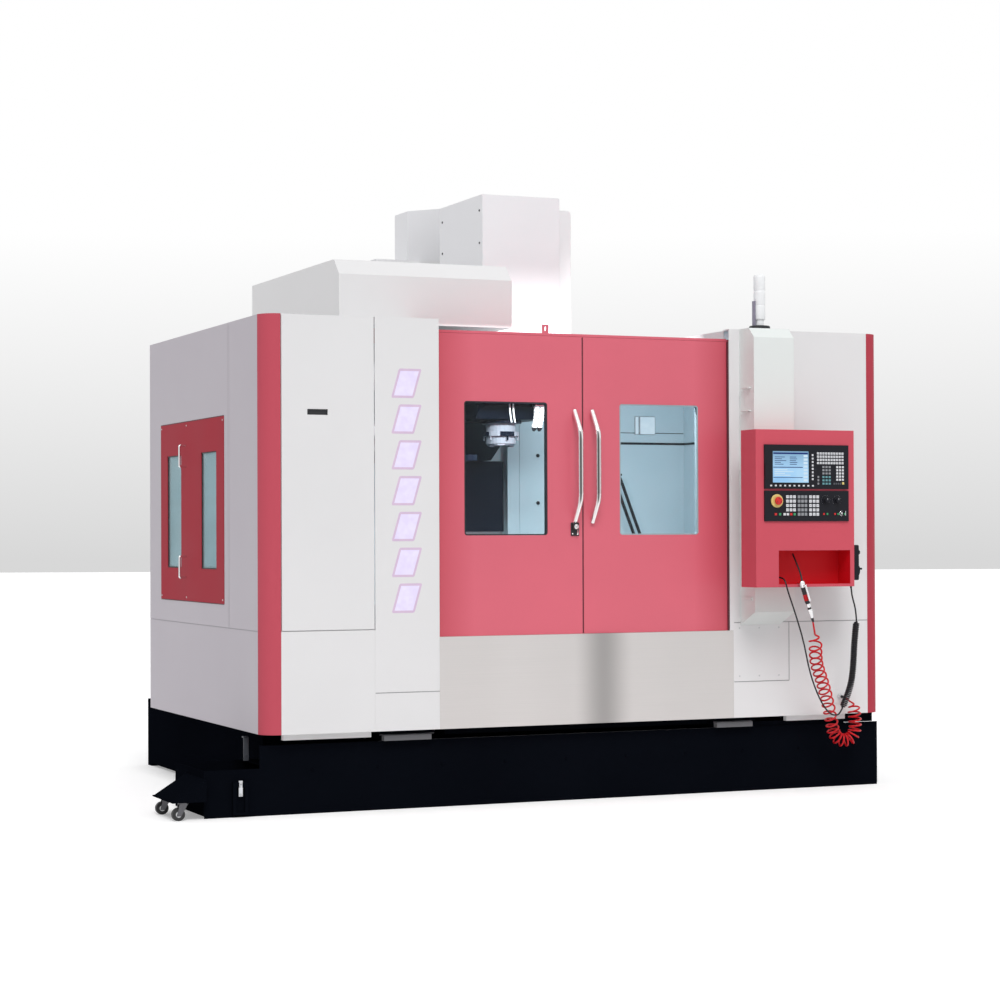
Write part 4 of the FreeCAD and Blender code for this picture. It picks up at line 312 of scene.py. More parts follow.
glows = {
    "lens": {"glow": (0.84, 0.78, 0.97), "glowEdge": (0.78, 0.70, 0.95), "strength": 0.96},
    # the frames round the light bars glow with this as a painted halo
    "haloLilac": {"glow": (0.70, 0.54, 0.70), "glowEdge": (0.66, 0.50, 0.68), "strength": 0.92},
    "lampWhite": {"glow": (0.72, 0.82, 0.90), "glowEdge": (0.64, 0.76, 0.86), "strength": 0.85},
    "screenBlue": {"glow": (0.30, 0.58, 0.90), "glowEdge": (0.44, 0.70, 0.94), "strength": 0.9,
                   "cellScale": 9.0, "fall": (1.63, 1.73)},
    "screenNavy": {"glow": (0.015, 0.035, 0.22), "glowEdge": (0.02, 0.05, 0.30), "strength": 0.5},
    "screenWhite": {"glow": (0.62, 0.80, 0.95), "glowEdge": (0.70, 0.85, 0.96), "strength": 0.85},
}

finishes = {}
for makeFinish, looks in ((paintFinish, paints), (metalFinish, metals), (paneFinish, panes),
                          (litFinish, glows)):
    for finishName, look in looks.items():
        finishes[finishName] = makeFinish(finishName, look)

nodeFinish = {
    "wallPaint": ["side_walls"],
    "whitePaint": ["hatch_frame", "hatch", "light_panel", "right_front_panel", "rear_wall",
                   "roof_panels", "magazine_hood", "cabinet", "cabinet_door"],
    "coverWhite": ["z_motor_cover"],
    "ductWhite": ["control_post"],
    "headWhite": ["head_cover"],
    "columnPaint": ["column"],
    "redPaint": ["door_header", "left_door", "right_door"],
    "postRed": ["corner_posts"],
    "sideRed": ["service_panel"],
    "boxRed": ["control_box"],
    "basePaint": ["bed_casting", "base_trays", "coolant_tank"],
    "greyPaint": ["carousel"],
    "castPaint": ["saddle"],
    "headPaint": ["head_casting", "tool_changer"],
    "liningPaint": ["splash_walls"],
    "guardPaint": ["service_screen"],
    "stainless": ["stainless_apron"],
    "groundSteel": ["table", "x_cover_mid", "y_cover_mid", "z_cover_mid"],
    "chrome": ["service_handles", "left_door_handle", "right_door_handle", "key_switch", "air_gun_trigger"],
    "noseSteel": ["spindle"],
    "paneGlass": ["left_door_glass", "right_door_glass"],
    "servicePane": ["service_glass"],
    "lens": ["light_bars"],
    "darkPlastic": ["display_unit", "operator_panel", "feed_knob", "spindle_knob", "pendant_wheel",
                    "pendant"],
    "keyGrey": ["panel_keys"],
    "frostedWhite": ["signal_tower"],
    "stopRed": ["emergency_stop", "air_gun"],
    "hoseRed": ["air_hose"],
    "cableGrey": ["pendant_cable"],
    "wheelBlack": ["caster_wheel_front", "caster_wheel_rear"],
    "forkDark": ["caster_fork_front", "caster_fork_rear"],
}
for finishName, nodeNames in nodeFinish.items():
    for nodeName in nodeNames:
        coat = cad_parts[nodeName].data.materials
        coat.clear()
        coat.append(finishes[finishName])
print("finishes on", sum(len(nodeNames) for nodeNames in nodeFinish.values()), "nodes")


# Making pieces

def settle(piece, finish, body):
    bpy.context.scene.collection.objects.link(piece)
    piece.data.materials.append(finishes[finish])
    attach(piece, body)
    return piece


def closeUp(bm, name, finish, body, smooth=False):
    bmesh.ops.remove_doubles(bm, verts=bm.verts, dist=1e-6)
    bmesh.ops.recalc_face_normals(bm, faces=bm.faces)
    mesh = bpy.data.meshes.new(name)
    bm.to_mesh(mesh)
    bm.free()
    if smooth:
        for face in mesh.polygons:
            face.use_smooth = True
        mesh.set_sharp_from_angle(angle=math.radians(38))
    return settle(bpy.data.objects.new(name, mesh), finish, body)


def addBlock(bm, low, high, rounding=0.0, steps=2):
    made = bmesh.ops.create_cube(bm, size=1.0)["verts"]
    lowest, highest = at(*low), at(*high)
    bmesh.ops.scale(bm, verts=made, vec=highest - lowest)
    bmesh.ops.translate(bm, verts=made, vec=(lowest + highest) / 2)
    if rounding > 0:
        edges = list(dict.fromkeys(edge for vert in made for edge in vert.link_edges))
        bmesh.ops.bevel(bm, geom=edges, offset=rounding / metre, segments=steps, profile=0.5, affect="EDGES",
                        material=-1)


def addPart(bm, other):
    mesh = bpy.data.meshes.new("part")
    other.to_mesh(mesh)
    other.free()
    bm.from_mesh(mesh)
    bpy.data.meshes.remove(mesh)


def addTurned(bm, profile, centre, along, steps=32):  # a profile of radius and height, turned about along
    turned = bmesh.new()
    verts = [turned.verts.new((radius / metre, 0, height / metre)) for radius, height in profile]
    edges = [turned.edges.new(pair) for pair in zip(verts, verts[1:])]
    bmesh.ops.spin(turned, geom=verts + edges, cent=(0, 0, 0), axis=(0, 0, 1), dvec=(0, 0, 0), angle=math.tau,
                   steps=steps, use_merge=True, use_duplicate=False)
    bmesh.ops.remove_doubles(turned, verts=turned.verts, dist=1e-6)
    bmesh.ops.recalc_face_normals(turned, faces=turned.faces)
    turn = Vector((0, 0, 1)).rotation_difference(Vector(along)).to_matrix().to_4x4()
    bmesh.ops.transform(turned, matrix=Matrix.Translation(at(*centre)) @ turn, verts=turned.verts)
    addPart(bm, turned)


def addRing(bm, low, high, width, bend, onSide=False):  # a flat frame: across, depth and height
    ring = bmesh.new()
    bmesh.ops.create_grid(ring, x_segments=1, y_segments=1, size=0.5)
    across, deep, tall = ((b - a) / metre for a, b in zip(low, high))
    bmesh.ops.scale(ring, verts=ring.verts, vec=(across, tall, 1))
    bmesh.ops.bevel(ring, geom=ring.verts[:], offset=bend / metre, segments=5, profile=0.5, affect="VERTICES",
                    material=-1)
    middle = ring.faces[:]
    bmesh.ops.inset_region(ring, faces=middle, thickness=width / metre, use_boundary=True,
                           use_even_offset=True)
    bmesh.ops.delete(ring, geom=middle, context="FACES")
    grown = bmesh.ops.extrude_face_region(ring, geom=ring.faces[:])["geom"]
    lifted = [vert for vert in grown if isinstance(vert, bmesh.types.BMVert)]
    bmesh.ops.translate(ring, verts=lifted, vec=(0, 0, deep))
    middleAcross, middleTall = (low[0] + high[0]) / 2, (low[2] + high[2]) / 2
    if onSide:
        swapAxes = Matrix(((0, 0, 1, 0), (1, 0, 0, 0), (0, 1, 0, 0), (0, 0, 0, 1)))
        place = at(low[1], middleAcross, middleTall)
    else:
        swapAxes = Matrix(((1, 0, 0, 0), (0, 0, 1, 0), (0, 1, 0, 0), (0, 0, 0, 1)))
        place = at(middleAcross, low[1], middleTall)
    bmesh.ops.transform(ring, matrix=Matrix.Translation(place) @ swapAxes, verts=ring.verts)
    bmesh.ops.recalc_face_normals(ring, faces=ring.faces)
    addPart(bm, ring)


def addMark(bm, size, reach, angle, axis, centre):  # a small bar at one radius of a dial, turned about axis
    mark = bmesh.new()
    bmesh.ops.create_cube(mark, size=1.0)
    bmesh.ops.scale(mark, verts=mark.verts, vec=Vector(size) / metre)
    bmesh.ops.translate(mark, verts=mark.verts, vec=(0, 0, reach / metre))
    bmesh.ops.rotate(mark, verts=mark.verts, cent=(0, 0, 0), matrix=Matrix.Rotation(angle, 3, axis))
    bmesh.ops.translate(mark, verts=mark.verts, vec=at(*centre))
    addPart(bm, mark)


def bentLine(name, paths, radius, steps, roundness):
    curve = bpy.data.curves.new(name, "CURVE")
    curve.dimensions = "3D"
    for path in paths:
        spline = curve.splines.new("NURBS")
        spline.points.add(len(path) - 1)
        for point, place in zip(spline.points, path):
            point.co = (*place, 1.0)
        spline.order_u = 3
        spline.use_endpoint_u = True
        spline.resolution_u = steps
    curve.bevel_depth = radius
    curve.bevel_resolution = roundness
    curve.use_fill_caps = True
    return curve


def tubePiece(name, paths, radius, finish, body):
    curve = bentLine(name, [[at(*place) for place in path] for path in paths], radius / metre, 8, 4)
    return settle(bpy.data.objects.new(name, curve), finish, body)


def routePoints(points, name):
    curve = bentLine(name, [points], 0.0, 40, 3)
    holder = bpy.data.objects.new(name, curve)
    mesh = bpy.data.meshes.new_from_object(holder)
    found = [vert.co.copy() for vert in mesh.vertices]
    bpy.data.objects.remove(holder)
    bpy.data.meshes.remove(mesh)
    bpy.data.curves.remove(curve)
    return found


def curveLength(points):
    return sum((b - a).length for a, b in zip(points, points[1:]))


def windAround(line, radius, pitchAt, perTurn, growIn=0.03, steps=3000):
    lengths = [0.0]
    for a, b in zip(line, line[1:]):
        lengths.append(lengths[-1] + (b - a).length)
    total = lengths[-1]
    angle = 0.0
    due = 0.0
    across = Vector((0, 1, 0))
    found = []
    segment = 0
    for index in range(steps + 1):
        travelled = total * index / steps
        while segment < len(line) - 2 and lengths[segment + 1] < travelled:
            segment += 1
        a, b = line[segment], line[segment + 1]
        centre = a.lerp(b, (travelled - lengths[segment]) / (b - a).length)
        along = (b - a).normalized()
        across = (across - along * across.dot(along)).normalized()
        up = along.cross(across)
        if angle >= due:
            share = travelled / total
            reach = radius * min(1.0, (share + 0.002) / growIn, (1.002 - share) / growIn)
            found.append(centre + (across * math.cos(angle) + up * math.sin(angle)) * reach)
            due += math.tau / perTurn
        angle += math.tau * (total / steps) / pitchAt(travelled / total)
    return found


# The spiral air hose, wound closer towards its lower end; radii and pitches in metres

airHose = {
    "radius": 0.0045, "coilRadius": 0.031, "openPitch": 0.044, "closePitch": 0.027, "perTurn": 14,
    "closeFrom": 0.55, "closeOver": 0.12,
    "lead": [(2748.9, -330, 891.9), (2752.4, -330, 881.2)],
    "route": [(2766, -330, 812), (2763, -339, 760), (2814, -254, 665), (2875, -205, 580), (2936, -150, 488),
              (2979, -113, 402), (3030, -78, 249), (3143, -81, 254), (3154, -79, 380), (3132, -80, 440)],
    "socket": [(3105, -35, 470), (3105, -24, 470)],
}


def hosePitch(share):
    near = min(max((share - airHose["closeFrom"]) / airHose["closeOver"], 0.0), 1.0)
    return airHose["openPitch"] + (airHose["closePitch"] - airHose["openPitch"]) * near


hoseLine = routePoints([at(*p) for p in airHose["route"]], "hoseRoute")
hosePath = [at(*p) for p in airHose["lead"]]
hosePath += windAround(hoseLine, airHose["coilRadius"], hosePitch, airHose["perTurn"])
hosePath += [at(*p) for p in airHose["socket"]]
hoseCurve = bentLine("airHoseLine", [hosePath], airHose["radius"], 2, 3)
hose = settle(bpy.data.objects.new("spiral_air_hose", hoseCurve), "hoseRed", "machine")
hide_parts("air_hose")
hoseLength = curveLength(routePoints(hosePath, "hoseMeasure"))
print("air hose length", round(hoseLength, 3))

# The pendant cable: a thin lead, a curly stretch and a thin lead back to the box; radii in metres

pendantCable = {
    "radius": 0.004, "curlRadius": 0.0138, "curlPitch": 0.0093, "perTurn": 12,
    "upper": [(3040, -225, 1066), (3040, -225, 1010), (3066, -222, 940), (3074, -220, 880)],
    "curly": [(3074, -220, 866), (3061, -220, 770), (3053, -220, 620), (3034, -220, 519), (2989, -220, 430)],
    "lower": [(2976, -221, 408), (2960, -222, 392), (2915, -224, 398), (2868, -228, 450), (2824, -236, 525),
              (2778, -250, 627), (2732, -275, 778), (2650, -325, 933), (2606, -336, 1030), (2600, -322, 1086),
              (2600, -270, 1096), (2600, -196, 1096)],
}
curlLine = routePoints([at(*p) for p in pendantCable["curly"]], "curlRoute")
cablePath = [at(*p) for p in pendantCable["upper"]]
cablePath += windAround(curlLine, pendantCable["curlRadius"], lambda share: pendantCable["curlPitch"],
                        pendantCable["perTurn"])
cablePath += [at(*p) for p in pendantCable["lower"]]
cableCurve = bentLine("pendantCableLine", [cablePath], pendantCable["radius"], 3, 3)
cable = settle(bpy.data.objects.new("curly_pendant_cable", cableCurve), "cableGrey", "machine")
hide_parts("pendant_cable")
cableLength = curveLength(routePoints(cablePath, "cableMeasure"))
print("pendant cable length", round(cableLength, 3))

# Directions that round pieces point in

outFront = (0, -1, 0)
outBack = (0, 1, 0)
outLeft = (-1, 0, 0)
outRight = (1, 0, 0)
upward = (0, 0, 1)
downward = (0, 0, -1)

# Door handles, lock and painted shadow strips in the door gaps

doorHandle = {"left": 1607, "right": 1703, "radius": 13.5, "root": 13, "out": -60, "ends": (1922, 1373),
              "bends": (1812, 1483), "bendOut": 14, "bendPast": 24, "bendShort": 8, "straight": 60}
doorLock = {"place": (1607, 1338), "size": (44, 66), "plate": (9, 15), "boltFront": -6}
doorEdges = {"depth": (14.5, 15.2), "heights": (826, 2284), "strips": ((1648.6, 1654.0), (883.1, 886.6)),
             "wiper": ((2458.5, 3.6, 823), (2468.0, 14.0, 2287))}


def buildDoorHandle(side):
    x, root, out = doorHandle[side], doorHandle["root"], doorHandle["out"]
    upper, past, short = out + doorHandle["bendOut"], doorHandle["bendPast"], doorHandle["bendShort"]
    top, low = doorHandle["ends"]
    high, foot = doorHandle["bends"]
    straight = doorHandle["straight"]
    path = [(x, root, top), (x, upper, high + past), (x, out, high - short), (x, out, high - straight),
            (x, out, foot + straight), (x, out, foot + short), (x, upper, foot - past), (x, root, low)]
    piece = tubePiece(side + "_door_tube_handle", [path], doorHandle["radius"], "handleSteel", side + "_door")
    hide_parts(side + "_door_handle")


def buildLock():
    x, z = doorLock["place"]
    halfWide, halfTall = (size / 2 for size in doorLock["size"])
    plateFront, plateBack = doorLock["plate"]
    bolt = doorLock["boltFront"]
    bm = bmesh.new()
    addBlock(bm, (x - halfWide, plateFront, z - halfTall), (x + halfWide, plateBack, z + halfTall), 2.5, 3)
    addBlock(bm, (x - halfWide + 5, bolt, z - 4), (x + halfWide - 7, plateFront, z + halfTall - 3), 4.0, 3)
    closeUp(bm, "door_lock_body", "rubberBlack", "left_door")
    bm = bmesh.new()
    barrel = [(0, 0), (12, 0), (12, 5), (10.5, 6.5), (6, 6.5), (5.4, 5.5), (0, 5.5)]
    addTurned(bm, barrel, (x - 1, bolt, z + 12), outFront)
    addBlock(bm, (x - 2.4, bolt - 20, z + 2), (x - 0.6, bolt - 5, z + 20), 0.8)
    addBlock(bm, (x - 2.4, bolt - 21, z - 22), (x - 0.8, bolt - 7, z - 3), 0.8)
    addBlock(bm, (x + 8, 5, z - halfTall + 5), (x + 16, plateFront + 0.5, z - halfTall + 22), 1.5)
    addTurned(bm, [(0, 0), (4, 0), (3.6, 1.6), (0, 1.8)], (x - 14, plateFront, z - 22), outFront, 16)
    closeUp(bm, "door_lock_and_key", "chrome", "left_door", True)


# dark strips on the left door's edges and in the gap right of the right door: painted shadow of the gaps
def buildDoorEdges():
    front, back = doorEdges["depth"]
    low, high = doorEdges["heights"]
    bm = bmesh.new()
    for left, right in doorEdges["strips"]:
        addBlock(bm, (left, front, low), (right, back, high))
    closeUp(bm, "door_gap_shadow_strips", "sealMaroon", "left_door")
    bm = bmesh.new()
    addBlock(bm, *doorEdges["wiper"], 1.0)
    closeUp(bm, "right_door_wiper", "sealMaroon", "machine")


for handleSide in ("left", "right"):
    buildDoorHandle(handleSide)
buildLock()
buildDoorEdges()

serviceHandle = {"y": 1303, "middles": (1152, 1723), "half": 54, "root": -2, "out": -38, "bend": 12,
                 "radius": 6}


def buildServiceHandles():
    y, root, out, bend = (serviceHandle[key] for key in ("y", "root", "out", "bend"))
    paths = []
    for middle in serviceHandle["middles"]:
        top, low = middle + serviceHandle["half"], middle - serviceHandle["half"]
        paths.append([(root, y, top), (out + bend, y, top), (out, y, top), (out, y, top - bend),
                      (out, y, low + bend), (out, y, low), (out + bend, y, low), (root, y, low)])
    piece = tubePiece("service_grab_handles", paths, serviceHandle["radius"], "chrome", "machine")
    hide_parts("service_handles")


buildServiceHandles()

windowSeal = {"gap": 0.3, "corner": 14, "heights": (1309, 1960), "rings": ((15.4, 17.9, 6), (24.2, 47.0, 3)),
              "windows": {"left_door": (1020, 1461, "rubberBlack"), "right_door": (1855, 2296, "sealGrey")}}
serviceSeal = {"windows": ((760, 1030), (1401, 1671)), "heights": (1145, 1733), "depth": (1.5, 4.8),
               "width": 6, "corner": 10}


def buildWindowSeals():
    gap = windowSeal["gap"]
    low, high = windowSeal["heights"]
    for body, (left, right, finish) in windowSeal["windows"].items():
        bm = bmesh.new()
        for front, back, width in windowSeal["rings"]:
            addRing(bm, (left + gap, front, low + gap), (right - gap, back, high - gap), width,
                    windowSeal["corner"])
        closeUp(bm, body + "_window_seal", finish, body)
    low, high = serviceSeal["heights"]
    inner, outer = serviceSeal["depth"]
    bm = bmesh.new()
    for left, right in serviceSeal["windows"]:
        addRing(bm, (left + gap, inner, low + gap), (right - gap, outer, high - gap), serviceSeal["width"],
                serviceSeal["corner"], True)
    closeUp(bm, "service_window_seals", "rubberBlack", "machine")


buildWindowSeals()
print("handles, lock and seals")

# Seams, flush pull, light frames and screws on the sheets

sheetSeams = {"thick": 0.7, "half": 1.9, "deep": 1.5, "enclosure": 3363,
              "front": [((555, 883), 562), ((2489, 3276), 862), ((2489, 2808), 562)],
              "cover": 2808, "coverHeights": (564, 860), "wallLine": (860, 864), "wallDepth": (90, 2028),
              "wallUprights": (545, 565), "wallTop": 2350}
panelShadow = {"lines": (973.5, 1899.3), "tall": 4.2, "depth": (632, 1799), "out": (-1.4, 0.2)}


def buildSeams():
    deep, half = sheetSeams["deep"], sheetSeams["half"]
    front = deep - sheetSeams["thick"]
    bm = bmesh.new()
    for (left, right), z in sheetSeams["front"]:
        addBlock(bm, (left + 0.2, front, z - half), (right - 0.2, deep, z + half))
    low, high = sheetSeams["coverHeights"]
    addBlock(bm, (sheetSeams["cover"] - half, front, low), (sheetSeams["cover"] + half, deep, high))
    closeUp(bm, "seam_shadows", "seamDark", "machine")
    bm = bmesh.new()
    low, high = sheetSeams["wallLine"]
    wallFront, wallBack = sheetSeams["wallDepth"]
    for outer, inner in ((front, deep), (sheetSeams["enclosure"] - deep, sheetSeams["enclosure"] - front)):
        addBlock(bm, (outer, wallFront, low), (inner, wallBack, high))
        for y in sheetSeams["wallUprights"]:
            addBlock(bm, (outer, y - half, high), (inner, y + half, sheetSeams["wallTop"]))
    closeUp(bm, "wall_seam_shadows", "wallSeam", "machine")


def buildPanelShadows():
    bm = bmesh.new()
    outer, inner = panelShadow["out"]
    near, far = panelShadow["depth"]
    for z in panelShadow["lines"]:
        addBlock(bm, (outer, near, z), (inner, far, z + panelShadow["tall"]))
    closeUp(bm, "service_panel_shadows", "sealMaroon", "machine")


buildSeams()
buildPanelShadows()

flushPull = {"left": 218.5, "right": 318.5, "low": 1879.5, "high": 1905.5, "rim": (0.4, 4.6),
             "floor": (4.0, 4.8), "lip": (1.6, 3.2)}


def buildFlushPull():
    left, right, low, high = (flushPull[key] for key in ("left", "right", "low", "high"))
    rim, floor, lip = flushPull["rim"], flushPull["floor"], flushPull["lip"]
    bm = bmesh.new()
    addRing(bm, (left, rim[0], low), (right, rim[1], high), 4, 3)
    addBlock(bm, (left + 1, floor[0], low + 1), (right - 1, floor[1], high - 1))
    addBlock(bm, (left + 8, lip[0], high - 9), (right - 8, lip[1], high - 4), 0.7)
    closeUp(bm, "hatch_flush_pull", "rubberBlack", "hatch")


buildFlushPull()

litSlots = {"left": 652, "right": 780, "first": 952, "pitch": 171, "height": 118, "slant": 34, "count": 7,
            "margin": 11, "front": -0.5, "back": 0.1}


# the frames glow lilac: a painted halo of light around the lit slots
def buildLightFrames():
    left, tall, slant, margin = (litSlots[key] for key in ("left", "height", "slant", "margin"))
    shear = Matrix.Identity(4)
    shear[0][2] = slant / tall
    bm = bmesh.new()
    for index in range(litSlots["count"]):
        low = litSlots["first"] + index * litSlots["pitch"]
        border = bmesh.new()
        addRing(border, (left - margin, litSlots["front"], low - margin),
                (litSlots["right"] - slant + margin, litSlots["back"], low + tall + margin), margin + 1,
                margin * 0.8)
        pivot = Matrix.Translation(at(left, 0, low))
        bmesh.ops.transform(border, matrix=pivot @ shear @ pivot.inverted(), verts=border.verts)
        addPart(bm, border)
    closeUp(bm, "light_slot_halo_frames", "haloLilac", "machine")


buildLightFrames()

sheetScrews = {"radius": 5.5, "head": 2.2, "coverX": (2520, 2634, 2748), "coverZ": (590, 834),
               "panelY": (650, 1300, 1781), "panelZ": (996, 1881), "rearX": range(300, 3250, 410),
               "rearZ": (410, 860, 1340, 1820, 2310), "rear": 2032, "behindCabinet": (2380, 3200, 2200),
               "roofX": (90, 3273), "roofY": range(200, 2000, 290), "roof": 2351,
               "headX": (1454, 1896), "headY": (850, 1370), "headZ": (2130, 2290, 2480, 2660, 2840, 3010)}


def addScrew(bm, centre, along, size=1.0):
    r, h = sheetScrews["radius"] * size, sheetScrews["head"] * size
    profile = [(0, -0.6), (r, -0.6), (r, h * 0.4), (r * 0.8, h), (r * 0.42, h), (r * 0.42, h * 0.45),
               (0, h * 0.45)]
    addTurned(bm, profile, centre, along, 12)


def buildSheetScrews():
    bm = bmesh.new()
    for x in sheetScrews["coverX"]:
        for z in sheetScrews["coverZ"]:
            addScrew(bm, (x, 0, z), outFront, 0.8)
    for y in sheetScrews["panelY"]:
        for z in sheetScrews["panelZ"]:
            addScrew(bm, (-2, y, z), outLeft, 0.8)
    cabinetLeft, cabinetRight, cabinetTop = sheetScrews["behindCabinet"]
    for x in sheetScrews["rearX"]:
        for z in sheetScrews["rearZ"]:
            if not (cabinetLeft < x < cabinetRight and z < cabinetTop):
                addScrew(bm, (x, sheetScrews["rear"], z), outBack, 1.1)
    for y in sheetScrews["roofY"]:
        for x in sheetScrews["roofX"]:
            addScrew(bm, (x, y, sheetScrews["roof"]), upward, 1.1)
    closeUp(bm, "sheet_screws", "zinc", "machine", True)
    bm = bmesh.new()
    left, right = sheetScrews["headX"]
    for z in sheetScrews["headZ"]:
        for y in sheetScrews["headY"]:
            addScrew(bm, (left, y, z), outLeft, 1.2)
            addScrew(bm, (right, y, z), outRight, 1.2)
    closeUp(bm, "head_cover_screws", "rubberBlack", "head", True)


buildSheetScrews()
print("seams, pull, light frames and screws")

# Display unit: screen, soft keys and keyboard; both panels share one face

panelFace = -308
displayUnit = {"screen": (2542, 2748, 1566, 1723), "screenFloor": -305, "lineLengths": (58, 41, 66, 35, 50),
               "textLengths": (92, 60, 110, 74), "rowPitch": 9}


def spread(first, last, count):
    return [first + (last - first) * index / (count - 1) for index in range(count)]


def buildScreen():
    left, right, low, high = displayUnit["screen"]
    back, pitch = displayUnit["screenFloor"], displayUnit["rowPitch"]
    front, sunk = back - 0.9, back - 0.5
    bm = bmesh.new()
    addBlock(bm, (left + 0.4, back - 0.6, low + 0.4), (right - 0.4, back, high - 0.4))
    closeUp(bm, "screen_glass", "screenBlue", "machine")
    bm = bmesh.new()
    addBlock(bm, (left + 4, front, high - 15), (right - 4, sunk, high - 7))
    addBlock(bm, (left + 4, front, (low + high) / 2 - 4), (right - 34, sunk, (low + high) / 2))
    addBlock(bm, (left + 4, front, low + 24), (right - 34, sunk, low + 27))
    for row, length in enumerate(displayUnit["lineLengths"]):
        z = high - 31 - row * pitch
        addBlock(bm, (left + 12, front, z), (left + 12 + length, sunk, z + 3))
        addBlock(bm, (left + 98, front, z), (left + 150 - length / 4, sunk, z + 3))
    closeUp(bm, "screen_lines", "screenNavy", "machine")
    bm = bmesh.new()
    for z in spread(low + 12, high - 24, 8):
        addBlock(bm, (right - 29, front, z - 5.5), (right - 6, sunk, z + 5.5), 0.35)
    for row, length in enumerate(displayUnit["textLengths"]):
        z = low + 35 + row * pitch
        addBlock(bm, (left + 10, front, z), (left + 10 + length, sunk, z + 4))
    closeUp(bm, "screen_tabs", "screenWhite", "machine")


# Keys as groups of columns, rows, width and height
keyboard = (spread(2800, 2942, 10), spread(1665, 1713, 4))
controlRows = spread(1408.8, 1495.6, 5)
wideKeys = (spread(2755.5, 2797, 3), controlRows)
axisKeys = (spread(2623.5, 2663.5, 3), controlRows[1:])
keyGroups = {
    "white_keys": ("keyWhite", [(*keyboard, 11.5, 11),
                                (spread(2911, 2943.5, 3), spread(1582, 1645, 5), 11, 10.5),
                                ([2769], spread(1584, 1704, 8), 9.5, 9.5),
                                (spread(2531, 2770, 10), [1551], 10.5, 8),
                                (*wideKeys, 15, 15), (*axisKeys, 15, 15),
                                ([2607, 2625.5], controlRows[:1], 13, 12)]),
    "grey_keys": ("keyGrey", [([2801.5], spread(1562, 1595, 3), 9, 10),
                              (spread(2831, 2867, 3), spread(1613, 1645, 3), 12, 10),
                              (spread(2690, 2729, 3), controlRows, 15, 15)]),
    "dark_keys": ("keyDark", [(spread(2893, 2930, 4), [1562], 8, 9)]),
    "teal_keys": ("keyTeal", [(spread(2831, 2867, 3), spread(1562, 1595, 3), 12, 10)]),
    "yellow_key": ("ringYellow", [([2945], [1564], 11, 12)]),
    "green_keys": ("keyGreen", [([2581, 2664], [1408.8], 12, 12), ([2853, 2916], [1410], 9, 10)]),
    "red_keys": ("stopRed", [([2556.5, 2645], [1408.8], 13, 12), ([2833, 2897], [1410], 9, 10)]),
}
keyDashes = {"groups": ((keyboard, 5), (wideKeys, 7), (axisKeys, 7)), "front": -310.8, "back": -310.5,
             "half": 0.8}


def addKeys(bm, columns, rows, wide, tall, high=2.6):
    for x in columns:
        for z in rows:
            addBlock(bm, (x - wide / 2, panelFace - high, z - tall / 2),
                     (x + wide / 2, panelFace + 0.2, z + tall / 2), 0.8)


def buildKeys():
    for name, (finish, groups) in keyGroups.items():
        bm = bmesh.new()
        for group in groups:
            addKeys(bm, *group)
        keys = closeUp(bm, name, finish, "machine")
        if name == "white_keys":
            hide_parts("panel_keys")
    bm = bmesh.new()  # plain dashes on the key caps
    half = keyDashes["half"]
    for (columns, rows), long in keyDashes["groups"]:
        for x in columns:
            for z in rows:
                addBlock(bm, (x - long / 2, keyDashes["front"], z - half),
                         (x + long / 2, keyDashes["back"], z + half))
    closeUp(bm, "key_dashes", "keyDark", "machine")


buildScreen()
buildKeys()

# Operator panel: stop button with its ring, knobs with dials, key switch

stopButton = {"x": 2563, "z": 1475, "cap": -323.5, "stem": -307, "marksAt": -334.9, "marks": 3,
              "markSize": (9, 0.6, 2.2), "markReach": 11.5}
selectorKnobs = {"places": {"feed_knob": 2844, "spindle_knob": 2908}, "z": 1478, "foot": -308.3, "flutes": 18,
                 "fluteSize": (1.6, 12, 1.6), "fluteReach": 13.1, "fluteMiddle": -320,
                 "pointer": (-328.6, -328.1), "ticks": 13, "tickSize": (1.1, 0.4, 4.2), "tickReach": 22.5,
                 "firstTick": -130, "sweep": 260}
keySwitch = {"x": 2936, "z": 1413}


def buildStopButton():
    x, z = stopButton["x"], stopButton["z"]
    bm = bmesh.new()
    profile = [(13.4, -0.2), (33, -0.2), (33, 5.6), (31.6, 6.8), (14, 6.8), (13.4, 6.4), (13.4, -0.2)]
    addTurned(bm, profile, (x, panelFace, z), outFront, 40)
    closeUp(bm, "stop_ring", "ringYellow", "machine", True)
    bm = bmesh.new()
    profile = [(0, 0), (16, 0), (20, 2.5), (20, 7), (18.8, 9.2), (15, 10.6), (8, 11.6), (0, 12)]
    addTurned(bm, profile, (x, stopButton["cap"], z), outFront, 40)
    addTurned(bm, [(0, 0), (13, 0), (13, 17), (0, 17)], (x, stopButton["stem"], z), outFront, 28)
    button = closeUp(bm, "stop_button", "stopRed", "emergency_stop", True)
    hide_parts("emergency_stop")
    bm = bmesh.new()  # turn-to-release marks
    for turn in range(stopButton["marks"]):
        addMark(bm, stopButton["markSize"], stopButton["markReach"], math.tau * turn / stopButton["marks"],
                "Y", (x, stopButton["marksAt"], z))
    closeUp(bm, "stop_button_marks", "sealMaroon", "emergency_stop")


